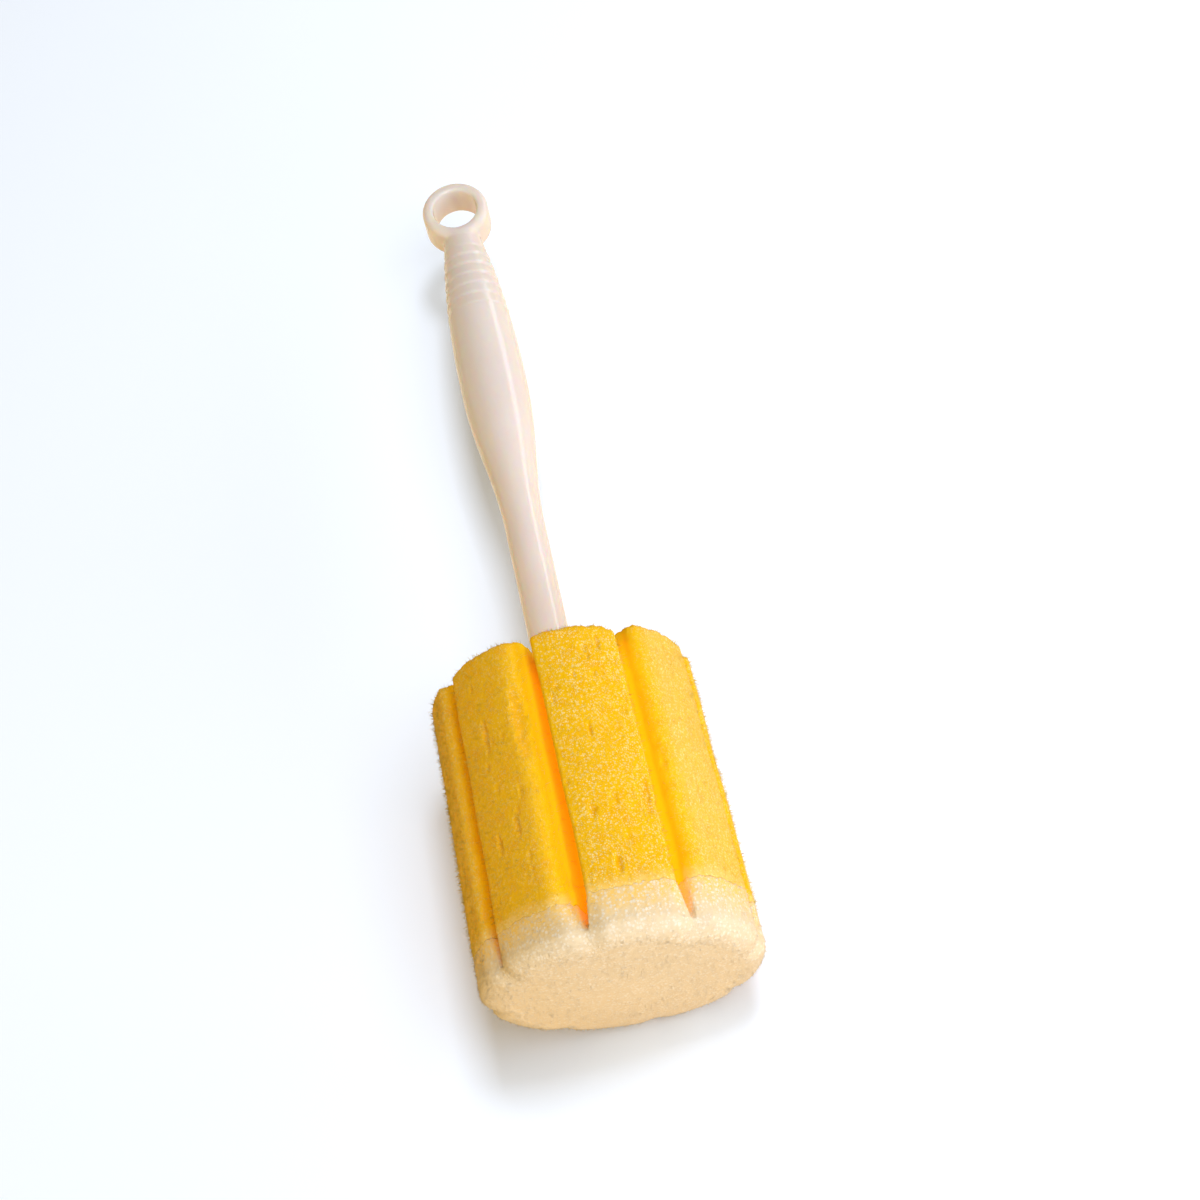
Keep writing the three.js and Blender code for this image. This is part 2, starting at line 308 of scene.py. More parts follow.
def polar(radius, angle):
    """Point at a radius and an angle from straight up towards the right, as x and z."""
    return np.stack(np.broadcast_arrays(radius * np.sin(angle), radius * np.cos(angle)), axis=-1)


def ramp(steps):
    """Evenly spaced shares from 0 up to, and without, 1."""
    return np.arange(steps) / steps


def lobed_outline(outer, floor, widths):
    """x and z of the outline, one row for each given radius.

    A slot floor is an arc between two walls. A wall is a radial line. A corner is an arc that touches the
    wall and the outer circle. outer and floor are columns, (rows, 1), and widths has a value for each row
    and slot.
    """
    lobe = np.arange(LOBES)
    first = np.radians(PITCH * lobe + FIRST_GAPS * widths)
    last = np.radians(PITCH * (lobe + 1) - LAST_GAPS * np.roll(widths, -1, axis=1))
    turn = np.where(lobe == 0, 2.0 * np.pi, 0.0)
    before = np.roll(last, 1, axis=1) - turn
    half = (first - before) / 2.0
    middle = (first + before) / 2.0
    floor_centre = floor / (1.0 - np.sin(half))
    floor_round = floor_centre * np.sin(half)
    wall_foot = floor_centre * np.cos(half)
    pieces = []
    for k in range(LOBES):
        near = slice(k, k + 1)
        following = slice((k + 1) % LOBES, (k + 1) % LOBES + 1)
        lean_first = np.arcsin(FIRST_CORNERS[k] / (outer - FIRST_CORNERS[k]))
        lean_last = np.arcsin(LAST_CORNERS[k] / (outer - LAST_CORNERS[k]))
        top_first = (outer - FIRST_CORNERS[k]) * np.cos(lean_first)
        top_last = (outer - LAST_CORNERS[k]) * np.cos(lean_last)
        start, stop = first[:, near], last[:, near]
        sweep = half[:, near] + np.pi / 2.0
        turning = middle[:, near] - sweep - (np.pi - 2.0 * half[:, near]) * ramp(FLOOR_STEPS)
        pieces.append(polar(floor_centre[:, near], middle[:, near]) + polar(floor_round[:, near], turning))
        rise = wall_foot[:, near] + (top_first - wall_foot[:, near]) * ramp(WALL_STEPS)
        pieces.append(polar(rise, start))
        turning = start - np.pi / 2.0 + (lean_first + np.pi / 2.0) * ramp(CORNER_STEPS)
        centre = polar(outer - FIRST_CORNERS[k], start + lean_first)
        pieces.append(centre + polar(FIRST_CORNERS[k], turning))
        turning = start + lean_first + (stop - start - lean_first - lean_last) * ramp(OUTSIDE_STEPS)
        pieces.append(polar(outer, turning))
        turning = stop - lean_last + (lean_last + np.pi / 2.0) * ramp(CORNER_STEPS)
        centre = polar(outer - LAST_CORNERS[k], stop - lean_last)
        pieces.append(centre + polar(LAST_CORNERS[k], turning))
        fall = top_last + (wall_foot[:, following] - top_last) * ramp(WALL_STEPS)
        pieces.append(polar(fall, stop))
    return np.concatenate(pieces, axis=1)


middle_radius = head_radius(np.array([[HEAD_LENGTH / 2.0]]))
reference = lobed_outline(middle_radius, middle_radius - SLOT_DEPTH, np.ones((1, LOBES)))[0]
steps = np.linalg.norm(np.roll(reference, -1, axis=0) - reference, axis=1)
round_share = np.concatenate([[0.0], np.cumsum(steps)]) / steps.sum()
column_angle = np.unwrap(np.arctan2(reference[:, 0], reference[:, 1]))
print("outline is", round(float(steps.sum()), 1), "mm long with", COLUMNS, "columns")

# %% [markdown]
# ## What differs from lobe to lobe
# The two foams were glued as slabs before the slots were cut, and the slabs were not even, so the border
# between yellow and pale sits at another height on each lobe. The cut at the neck side is uneven too.
# Each lobe gets its own value, and columns on a slot's floor mix the values of the two lobes beside it.
# Light differs from lobe to lobe as well, and that is painted: some lobes get a paler tone, painted light,
# lobes in the light show more pale strut ends and shaded lobes fewer, and a painted glow stands for light
# that comes through the foam into some slots.

# %% Border and top edge for each column
BORDERS = np.array([12.4, 13.5, 13.0, 12.6, 13.3, 12.8, 13.3, 11.6])
BORDER_WAVE = 0.45
BORDER_WAVE_SIZE = 5.0
BORDER_RAGGED = 0.45
BORDER_RAG_SIZE = 0.9
BORDER_SEEDS = (11, 12)
TOP_RISES = np.array([-0.9, -0.6, 0.2, -0.4, 0.3, -0.2, -0.6, -0.2])
TOP_TILTS = np.array([-1.1, -1.6, 0.8, -0.6, 0.9, -0.7, 0.6, 0.9])
TOP_CROWN = 1.0
TOP_RAGGED = 0.35
TOP_RAG_SIZES = (3.0, 1.1)
TOP_SEEDS = (13, 14)

# The first edge of a lobe is beside the slot of the same number. Its width is a share of the lobe's.
# Painted light for each lobe and slot: how many pale strut ends show, more where the light falls, a paler
# tone on some lobes, and how strongly each slot glows.
SPECKLES_BY_LIGHT = np.array([1.1, 1.3, 1.0, 0.9, 0.8, 0.8, 0.75, 0.45])
PAINTED_PALENESS = np.array([0.0, 0.48, 0.28, 0.0, 0.0, 0.0, 0.17, 0.05])
EDGE_WIDTHS = np.array([0.1, 0.3, 0.1, 0.1, 0.1, 0.1, 0.1, 0.1])
PLAIN_EDGES = np.array([0.95, 0.85, 0.5, 0.5, 0.5, 0.5, 0.5, 0.5])
GLOWS = np.array([0.29, 0.40, 0.15, 0.12, 0.12, 0.12, 0.12, 0.08])

in_lobe = np.arange(COLUMNS) % COLUMNS_PER_LOBE
lobe_of_column = np.arange(COLUMNS) // COLUMNS_PER_LOBE
lobe_start = PITCH * lobe_of_column + FIRST_GAPS[lobe_of_column]
lobe_stop = PITCH * (lobe_of_column + 1) - LAST_GAPS[lobe_of_column]
across = np.clip((np.degrees(column_angle) - lobe_start) / (lobe_stop - lobe_start), 0.0, 1.0)


def per_lobe(values):
    """One value for each column: its lobe's own, mixed with the lobe before it along the slot's floor."""
    mix = smooth((in_lobe + 0.5) / FLOOR_STEPS)
    return values[lobe_of_column - 1] * (1.0 - mix) + values[lobe_of_column] * mix


def per_slot(values):
    """One value for each column: that of the slot on its own side of the lobe's middle."""
    past_middle = in_lobe > COLUMNS_PER_LOBE // 2
    return values[(lobe_of_column + past_middle) % LOBES]


def round_points(scale):
    """The reference outline as points in space, measured in units of scale millimetres, for noise."""
    return np.stack([reference[:, 0], np.zeros(COLUMNS), reference[:, 1]], axis=1) / scale


border = per_lobe(BORDERS) + BORDER_WAVE * soft_noise(round_points(BORDER_WAVE_SIZE), BORDER_SEEDS[0])
border += BORDER_RAGGED * soft_noise(round_points(BORDER_RAG_SIZE), BORDER_SEEDS[1])
crown = TOP_CROWN * (1.0 - (2.0 * across - 1.0) ** 4)
top_broad = HEAD_LENGTH + per_lobe(TOP_RISES) + per_lobe(TOP_TILTS) * (across - 0.5) - TOP_CROWN + crown
top_rags = [soft_noise(round_points(size), seed) for size, seed in zip(TOP_RAG_SIZES, TOP_SEEDS)]
top_ragged = TOP_RAGGED * sum(top_rags)
top_edge = top_broad + top_ragged
print("border from", round(border.min(), 2), "to", round(border.max(), 2), "mm")
print("top edge from", round(top_edge.min(), 2), "to", round(top_edge.max(), 2), "mm")

# %% [markdown]
# ## Torn cells and hollows
# The surface of cut foam is all open cups. Their rims catch the light, and at the edge of the sponge they
# make a rough outline. Larger bubbles burst into long hollows along the brush. A Displace modifier with a
# texture could move the mesh like this, but the hollows also get a darker colour, which is painted shade. So
# both are worked out here as numbers: they move the points along their normals, and the hollows' depth is
# kept on the mesh for that painted shade.

# %% Foam relief
LARGE_CELL_SHARE = 0.7
WALL_REACH = 0.5
WALL_RISE = 0.5
STRUT_REACH = 0.6
STRUT_RISE = 0.7
CUP_REACH = 0.55
CUP_BRIM = 1.1
CUP_DIP = 0.9
FINER_SEED = 10


def foam_relief(points, cell, seed):
    """Relief from about -1 in a cup to 1 on a strut: high where the second and third bubble are as near as
    the first, low near a bubble's centre. Bubbles of half the size add finer rims."""
    relief = np.zeros(points.shape[:-1])
    for share, size in ((LARGE_CELL_SHARE, cell), (1.0 - LARGE_CELL_SHARE, cell / 2.0)):
        first, second, third = nearest_bubbles(points / size, seed)
        wall = 1.0 - smooth((second - first) / WALL_REACH)
        strut = 1.0 - smooth((third - first) / STRUT_REACH)
        cup = smooth(CUP_BRIM - first / CUP_REACH)
        relief += share * (WALL_RISE * wall + STRUT_RISE * strut - CUP_DIP * cup)
        seed += FINER_SEED
    return relief


def grid_normals(points):
    """Unit normals of a grid: the cross product of the steps round and along it."""
    round_step = np.roll(points, -1, axis=1) - np.roll(points, 1, axis=1)
    along_step = np.gradient(points, axis=0)
    return unit(np.cross(round_step, along_step))


relief = foam_relief(round_points(1.0), cell=1.0, seed=0)
print("relief round the outline from", round(relief.min(), 2), "to", round(relief.max(), 2))

# %% Hollows of the sponge
HOLLOW_EDGE = 0.7
HOLLOW_WANDER = 0.4
HOLLOW_GRAIN = 1.2
HOLLOW_SEED = 60
HOLLOW_SHARE = 0.65
HIDDEN_HOLLOWS = 34
SMALL_HOLLOWS = 130
HOLLOW_STATIONS = (16.0, 82.0)
HOLLOW_PLACES_SEED = 5

# Hollows on the lobes that face the camera: angle from the camera's side of the head in degrees, station,
# width in degrees, length, depth.
SEEN_HOLLOWS = [
    (-18.5, 62.0, 4.6, 17.0, 1.5),
    (26.0, 36.0, 4.2, 9.0, 1.3),
    (20.5, 79.0, 1.8, 5.0, 0.9),
    (57.0, 79.0, 2.6, 6.0, 1.0),
    (-35.5, 62.0, 2.6, 6.5, 1.2),
    (-28.0, 35.0, 2.2, 4.5, 1.0),
    (-38.5, 33.0, 2.2, 4.5, 1.0),
    (9.0, 18.0, 2.4, 4.5, 1.1),
    (9.5, 55.0, 1.6, 3.5, 0.9),
    (3.5, 33.0, 3.0, 4.0, 0.8),
    (53.0, 29.0, 4.0, 5.0, 0.9),
    (55.0, 38.0, 3.0, 4.5, 0.9),
    (49.0, 59.0, 1.8, 4.0, 0.8),
    (-72.0, 62.0, 2.4, 5.0, 1.0),
    (-70.0, 33.0, 2.4, 7.0, 1.0),
    (30.8, 32.0, 3.0, 3.0, 1.0),
    (30.6, 18.0, 3.0, 3.0, 1.0),
]


def hollow_depth(points, hollows):
    """How deep the hollows are at each point: an ellipse in angle and length with a soft, wandering edge."""
    angle = np.degrees(np.arctan2(points[..., 0], points[..., 2]))
    station = points[..., 1]
    wander = HOLLOW_WANDER * soft_noise(points / HOLLOW_GRAIN, HOLLOW_SEED)
    depth = np.zeros(station.shape)
    for centre, height, width, length, deep in hollows:
        off = (angle - centre + 180.0) % 360.0 - 180.0
        reach = np.sqrt((off / (width / 2.0)) ** 2 + ((station - height) / (length / 2.0)) ** 2) + wander
        depth = np.maximum(depth, deep * smooth((1.0 + HOLLOW_EDGE - reach) / (2.0 * HOLLOW_EDGE)))
    return depth


def seeded_hollows(rng, count, angles, widths, lengths, depths):
    """A count of hollows with each value drawn evenly between two limits."""
    limits = (angles, HOLLOW_STATIONS, widths, lengths, depths)
    return list(zip(*[rng.uniform(low, high, count) for low, high in limits]))


def all_hollows():
    """The seen hollows, turned to the head's own zero, seeded ones of like size on the other lobes, and
    small ones all round."""
    rng = np.random.default_rng(HOLLOW_PLACES_SEED)
    hollows = [(angle + ring_turn, *rest, HOLLOW_SHARE * deep) for angle, *rest, deep in SEEN_HOLLOWS]
    hollows += seeded_hollows(rng, HIDDEN_HOLLOWS, angles=(95.0, 275.0), widths=(1.6, 4.2),
                              lengths=(3.0, 9.0), depths=(0.5, 1.0))
    hollows += seeded_hollows(rng, SMALL_HOLLOWS, angles=(0.0, 360.0), widths=(1.2, 2.4),
                              lengths=(1.4, 3.6), depths=(0.2, 0.45))
    return hollows


hollows = all_hollows()
print(len(hollows), "hollows on the sponge")

# %% [markdown]
# ## Node groups that several finishes share
# Foam has grain finer than its mesh, and moulded plastic has a faint mottle. Each of these is a node
# group, built once and placed in a material with its own values. A group only puts out numbers that
# change over the surface; the shader stays in the material.

# %% Node helpers
def between(tree, value, low, high):
    """A Map Range node: low becomes 0 and high becomes 1, clamped."""
    node = tree.nodes.new("ShaderNodeMapRange")
    tree.links.new(value, node.inputs["Value"])
    node.inputs["From Min"].default_value = low
    node.inputs["From Max"].default_value = high
    return node.outputs["Result"]


def number_node(tree, operation, *values):
    """A Math node of two values, each a number or another node's socket."""
    node = tree.nodes.new("ShaderNodeMath")
    node.operation = operation
    for socket, value in zip(node.inputs, values):
        if isinstance(value, float):
            socket.default_value = value
        else:
            tree.links.new(value, socket)
    return node.outputs["Value"]


def new_group(name, inputs, outputs):
    """A shader node group with a vector input and the named number sockets, and its two end nodes."""
    group = bpy.data.node_groups.new(name, "ShaderNodeTree")
    group.interface.new_socket("Vector", in_out="INPUT", socket_type="NodeSocketVector")
    for socket, value in inputs.items():
        made = group.interface.new_socket(socket, in_out="INPUT", socket_type="NodeSocketFloat")
        made.default_value = value
    for socket in outputs:
        group.interface.new_socket(socket, in_out="OUTPUT", socket_type="NodeSocketFloat")
    return group, group.nodes.new("NodeGroupInput"), group.nodes.new("NodeGroupOutput")


# %% Shared node groups
LARGEST_DOT = 0.56
DOT_EDGE = 0.15
DOT_RIPPLE = 2600.0
DOT_SHIFT = 0.0005


def foam_grain_group():
    """Strut ends and patchy tone, both in Object space.

    A strut end is a dot in the middle of a Voronoi cell, larger or smaller by the cell's own random number,
    so that some cells show none, and a fine noise shifts its edge. Patches are a soft noise.
    """
    group, start, end = new_group("foam_grain", {"Cells": 1200.0, "Patches": 300.0}, ["Speckle", "Patch"])
    cells = group.nodes.new("ShaderNodeTexVoronoi")
    patches = group.nodes.new("ShaderNodeTexNoise")
    patches.inputs["Detail"].default_value = 2.0
    ripple = group.nodes.new("ShaderNodeTexNoise")
    ripple.inputs["Scale"].default_value = DOT_RIPPLE
    shifted = group.nodes.new("ShaderNodeVectorMath")
    shifted.operation = "MULTIPLY_ADD"
    shifted.inputs[1].default_value = (DOT_SHIFT, DOT_SHIFT, DOT_SHIFT)
    group.links.new(start.outputs["Vector"], ripple.inputs["Vector"])
    group.links.new(ripple.outputs["Color"], shifted.inputs[0])
    group.links.new(start.outputs["Vector"], shifted.inputs[2])
    for texture, place, socket in ((cells, shifted, "Cells"), (patches, start, "Patches")):
        group.links.new(place.outputs["Vector"], texture.inputs["Vector"])
        group.links.new(start.outputs[socket], texture.inputs["Scale"])
    chance = group.nodes.new("ShaderNodeSeparateColor")
    group.links.new(cells.outputs["Color"], chance.inputs["Color"])
    size = number_node(group, "MULTIPLY", chance.outputs["Red"], LARGEST_DOT)
    beyond = number_node(group, "SUBTRACT", size, cells.outputs["Distance"])
    group.links.new(between(group, beyond, -DOT_EDGE, DOT_EDGE), end.inputs["Speckle"])
    group.links.new(patches.outputs["Fac"], end.inputs["Patch"])
    return group


def moulded_group():
    """Faint mottle of moulded or poured plastic: two noises, a broad one and a fine one."""
    group, start, end = new_group("moulded_mottle", {"Broad": 60.0, "Fine": 1500.0}, ["Broad", "Fine"])
    for socket, detail in (("Broad", 2.0), ("Fine", 1.0)):
        noise = group.nodes.new("ShaderNodeTexNoise")
        noise.inputs["Detail"].default_value = detail
        group.links.new(start.outputs["Vector"], noise.inputs["Vector"])
        group.links.new(start.outputs[socket], noise.inputs["Scale"])
        group.links.new(noise.outputs["Fac"], end.inputs[socket])
    return group


foam_grain = foam_grain_group()
moulded_mottle = moulded_group()
print("node groups:", foam_grain.name, "and", moulded_mottle.name)

# %% [markdown]
# ## Foam finishes
# Dry foam is matte and lets light in. Cut strut ends look like pale dots, because light shines through them,
# and how many of them show follows how a lobe is lit. The slots glow, because light comes through the lobes:
# a lighter colour and an emission paint that light in. Near the glue the tone lies between the two foams,
# painted light that comes through from the other foam, some lobes get a paler tone, painted light, and the
# tip's side away from the light a warmer one, painted shade. The hollows get a darker tone, painted shade. A
# painter would mask these places by hand. Here the meshes carry them as attributes, worked out from the
# shape, and the material only mixes the colours by them.

# %% Material helpers
def material_with_group(name, group):
    """An empty material with its Principled shader, Object coordinates and one placed group."""
    material = bpy.data.materials.new(name)
    material.use_nodes = True
    tree = material.node_tree
    shader = tree.nodes["Principled BSDF"]
    place = tree.nodes.new("ShaderNodeTexCoord")
    placed = tree.nodes.new("ShaderNodeGroup")
    placed.node_tree = group
    tree.links.new(place.outputs["Object"], placed.inputs["Vector"])
    return material, tree, shader, placed


def mixed_colour(tree, share, low, high):
    """A Mix node between two colours, each a tuple or another node's colour socket."""
    mix = tree.nodes.new("ShaderNodeMix")
    mix.data_type = "RGBA"
    tree.links.new(share, mix.inputs["Factor"])
    for socket, colour in ((mix.inputs["A"], low), (mix.inputs["B"], high)):
        if isinstance(colour, tuple):
            socket.default_value = (*colour, 1.0)
        else:
            tree.links.new(colour, socket)
    return mix.outputs["Result"]


def add_bump(tree, shader, height, strength, distance):
    """A Bump node from a height to the shader's normal."""
    bump = tree.nodes.new("ShaderNodeBump")
    bump.inputs["Strength"].default_value = strength
    bump.inputs["Distance"].default_value = distance
    tree.links.new(height, bump.inputs["Height"])
    tree.links.new(bump.outputs["Normal"], shader.inputs["Normal"])


def attribute_value(tree, name):
    """The number that the mesh keeps under this name at each point."""
    node = tree.nodes.new("ShaderNodeAttribute")
    node.attribute_name = name
    return node.outputs["Fac"]


# %% Foam materials
FOAM_ROUGHNESS = 0.9
FOAM_SPECULAR = 0.1
SHEEN_ROUGHNESS = 0.5
PATCH_RANGE = (0.45, 0.9)
STRUT_PATCH_RANGE = (0.35, 0.65)
DOT_BUMP = 0.15
DOT_HEIGHT = 0.00025
BLACK = (0.0, 0.0, 0.0)
PAINTED_TONE = (0.99, 0.66, 0.18)


def set_matte(shader):
    """Gives a shader the dull finish that the foams and their struts share."""
    shader.inputs["Roughness"].default_value = FOAM_ROUGHNESS
    shader.inputs["Specular IOR Level"].default_value = FOAM_SPECULAR


def foam_material(name, body, patch_and_pit_shade, strut, slot, glow, cells, sheen):
    """Foam of one body colour with patches. The mesh's own attributes mix in painted shade in the hollows, a
    lighter slot colour that is painted light, a tone between the two foams that is painted light and shade,
    and pale strut ends in numbers that follow the light. Light that comes through into a slot is painted as
    a faint glow."""
    material, tree, shader, grain = material_with_group(name, foam_grain)
    grain.inputs["Cells"].default_value = cells
    cloudy = between(tree, grain.outputs["Patch"], *PATCH_RANGE)
    # The hollows take the patch colour as well, which paints shade into them.
    patch_or_pit_shade = number_node(tree, "MAXIMUM", cloudy, attribute_value(tree, "pit_shade"))
    tone = mixed_colour(tree, patch_or_pit_shade, body, patch_and_pit_shade)
    # A lighter colour on the slot walls is painted light that comes through the lobes.
    tone = mixed_colour(tree, attribute_value(tree, "slot"), tone, slot)
    # A tone between the two foams, painted light near the border and on some lobes, and painted shade on the
    # tip's side away from the light.
    tone = mixed_colour(tree, attribute_value(tree, "painted_light_and_shade"), tone, PAINTED_TONE)
    # How many pale strut ends show follows how the lobe is lit: partly foam grain, partly painted light.
    dots = number_node(tree, "MULTIPLY", grain.outputs["Speckle"], attribute_value(tree, "speckle_by_light"))
    tree.links.new(mixed_colour(tree, dots, tone, strut), shader.inputs["Base Color"])
    # Painted light: an emission in the slots stands for light that comes through the lobes.
    shine = mixed_colour(tree, attribute_value(tree, "glow"), BLACK, glow)
    tree.links.new(shine, shader.inputs["Emission Color"])
    shader.inputs["Emission Strength"].default_value = 1.0
    add_bump(tree, shader, dots, DOT_BUMP, DOT_HEIGHT)
    set_matte(shader)
    shader.inputs["Sheen Weight"].default_value = sheen
    shader.inputs["Sheen Tint"].default_value = (*strut, 1.0)
    shader.inputs["Sheen Roughness"].default_value = SHEEN_ROUGHNESS
    return material


def strut_material(name, low, high):
    """Thin torn struts: matte and paler than the foam, with a tone that wanders between two colours."""
    material, tree, shader, grain = material_with_group(name, foam_grain)
    tone = mixed_colour(tree, between(tree, grain.outputs["Patch"], *STRUT_PATCH_RANGE), low, high)
    tree.links.new(tone, shader.inputs["Base Color"])
    set_matte(shader)
    return material


# The slot colours and glows below are painted light that comes through the lobes; the patch colours also
# paint shade into the hollows.
yellow_foam = foam_material("yellow_foam", body=(0.98, 0.57, 0.003), patch_and_pit_shade=(0.95, 0.45, 0.002),
                            strut=(1.0, 0.80, 0.34), slot=(1.0, 0.74, 0.008), glow=(0.32, 0.22, 0.002),
                            cells=2050.0, sheen=0.07)
pale_foam = foam_material("pale_foam", body=(0.87, 0.745, 0.56), patch_and_pit_shade=(0.83, 0.68, 0.47),
                          strut=(0.95, 0.87, 0.76), slot=(0.98, 0.68, 0.20), glow=(0.32, 0.18, 0.004),
                          cells=1300.0, sheen=0.2)
yellow_struts = strut_material("yellow_struts", (1.0, 0.68, 0.05), (1.0, 0.80, 0.20))
pale_struts = strut_material("pale_struts", (0.88, 0.75, 0.57), (0.96, 0.87, 0.74))
print("foam finishes:", [made.name for made in (yellow_foam, pale_foam, yellow_struts, pale_struts)])

# %% [markdown]
# ## Stacking rows into a foam piece
# A row of the grid is the lobed outline at one station, drawn in towards a circle by some share. A share
# of 0 is the flank, and a share that grows from 0 to 1 walks over an end face to the circle. So a list of
# rows, each with its station, its inset and its share, is the whole piece, end faces included. A lathe
# can't make it, because the outline isn't round, and a loft would twist at the end faces.

# %% Rows to points
GLOW_START = -0.2
GLOW_REACH = 1.9


def draw_in(outline, radius, share):
    """Points between the outline and a circle. Circle points are spaced like the outline is by length."""
    angle = column_angle[0] + 2.0 * np.pi * round_share[:-1]
    circle = polar(radius, angle)
    return outline + (circle - outline) * share


def place_rows(flat, station):
    """x and z of each row joined with its station, as points in the brush's axes."""
    return np.stack([flat[..., 0], np.broadcast_to(station, flat.shape[:-1]), flat[..., 1]], axis=-1)


def depth_in_slot(flat, outer, share):
    """How far each outline point lies inside the circle round the lobes, less so on a drawn-in row."""
    return np.clip(outer - np.linalg.norm(flat, axis=-1), 0.0, SLOT_DEPTH) * (1.0 - share)


def slot_glow(depth):
    """Painted glow for light that comes through the foam, by slot: none on the outside and all of it a
    little way in.
    """
    return per_slot(GLOWS) * smooth((depth - GLOW_START) / GLOW_REACH)


def stack_rows(rows):
    """Rows of stations and single values as arrays: one value for each column, or one for each row."""
    station, *values = zip(*rows)
    return np.array(station), *[np.array(value)[:, None] for value in values]


print("strongest glow in a slot:", slot_glow(SLOT_DEPTH).max())

# %% Roughening a surface
SLOT_ROUGHNESS = 0.25
BULGE = 0.25
BULGE_SIZE = 14.0
BULGE_SEED = 50
NO_MOVE = 1e-6


def roughen(points, weight, facing, calm, in_slot, cell, height, seed, hollows):
    """Moves each point along its normal by the relief and the hollows, times its row's weight.

    On a flat end, where facing is -1 or 1, the normal runs along the brush. At the border, where calm is 0,
    it runs straight out and only the broad bulge is left, so that both foams meet there in one line. Slot
    walls stay smoother than the outside. Returns the points, their normals and the hollows' depth.
    """
    lengthwise = np.array([0.0, 1.0, 0.0])
    outwards = unit(np.cross(np.roll(points, -1, axis=1) - np.roll(points, 1, axis=1), lengthwise))
    normal = np.where(calm[..., None] < NO_MOVE, outwards, grid_normals(points))
    normal = np.where(facing[..., None] == 0.0, normal, facing[..., None] * lengthwise)
    bulge = BULGE * soft_noise(points / BULGE_SIZE, BULGE_SEED)
    depth = calm * hollow_depth(points, hollows)
    rough = height * calm * (1.0 - (1.0 - SLOT_ROUGHNESS) * in_slot)
    move = rough * foam_relief(points, cell, seed) + bulge - depth
    return points + normal * (move * weight)[..., None], normal, depth


# %% Closing and marking a foam piece
UV_MARGIN = 0.02


def on_table(points):
    """Points of the head in the frame, none of them below the table."""
    places = in_frame(points, HEAD_AXES)
    places[:, 2] = np.maximum(places[:, 2], 0.0)
    return places


def write_grid_uv(mesh, climb):
    """UV by share of length round the grid and share of length along it; the end fans fill the margins."""
    left, right = round_share[:-1], round_share[1:]
    low, high = climb[:-1], climb[1:]
    u = np.stack(np.broadcast_arrays(left, right, right, left), axis=-1)
    u = np.broadcast_to(u, (len(low), *u.shape))
    v = np.stack([low, low, high, high], axis=-1)[:, None, :]
    quads = np.stack([u, np.broadcast_to(v, u.shape)], axis=-1).reshape(-1, 2)
    fans = []
    for near, far, upside in ((climb[0], 0.0, False), (climb[-1], 1.0, True)):
        pair = (left, right) if upside else (right, left)
        fan_u = np.stack([*pair, (left + right) / 2.0], axis=-1)
        fan_v = np.broadcast_to([near, near, far], fan_u.shape)
        fans.append(np.stack([fan_u, fan_v], axis=-1).reshape(-1, 2))
    write_uv(mesh, np.concatenate([quads, *fans]))


def closed_grid(name, points, ends):
    """A mesh of the grid, closed by a point at each end and no lower than the table, with its UV map."""
    rows, columns = points.shape[:2]
    places = on_table(np.concatenate([points.reshape(-1, 3), ends]))
    number = np.arange(rows * columns).reshape(rows, columns)
    foot = cap_faces(number[0], rows * columns, False)
    head = cap_faces(number[-1], rows * columns + 1, True)
    mesh = mesh_from_faces(name, places, grid_faces(rows, columns), np.concatenate([foot, head]))
    lengths = np.linalg.norm(np.diff(points, axis=0), axis=-1).mean(axis=1)
    climb = np.concatenate([[0.0], np.cumsum(lengths)])
    write_grid_uv(mesh, UV_MARGIN + (1.0 - 2.0 * UV_MARGIN) * climb / lengths.sum())
    return mesh


def foam_object(name, points, weight, marks, ends, material, body_slot, node):
    """Faces of hidden rows, whose weight is 0, are shaded flat, so that the fold at the border stays crisp.
    """
    columns = points.shape[1]
    mesh = closed_grid(name, points, ends)
    seen = (weight[:-1] > 0.0) & (weight[1:] > 0.0)
    fans = np.repeat([weight[0] > 0.0, weight[-1] > 0.0], columns)
    mesh.polygons.foreach_set("use_smooth", np.append(np.repeat(seen, columns), fans))
    for mark, grid in marks.items():
        values = np.append(np.clip(grid, 0.0, 1.0).ravel(), [0.0, 0.0])
        layer = mesh.attributes.new(mark, "FLOAT", "POINT")
        layer.data.foreach_set("value", values.astype(np.float32))
    obj = add_object(name, mesh, material, body_slot, node)
    return obj


# %% [markdown]
# ## Torn struts
# A knife tears the struts of the foam, and their broken ends stand out of the cut like short bristles.
# They make the soft, grainy look of a sponge. A hair system could grow them, but hair isn't part of the
# mesh, so each strut is a needle of four triangles. They belong to the foam, and only their fineness
# makes them an object of their own.

# %% Struts as needles
STRUT_LONGEST = 3.0
STRUT_RADIUS = 0.08
STRUT_SINK = 0.1
STRUT_LEAN = 0.45
STRUTS_IN_SLOT = 0.1


def strut_share(in_slot):
    """How many of the struts stand: all outside, and few on the smoother walls of a slot."""
    return 1.0 - (1.0 - STRUTS_IN_SLOT) * in_slot


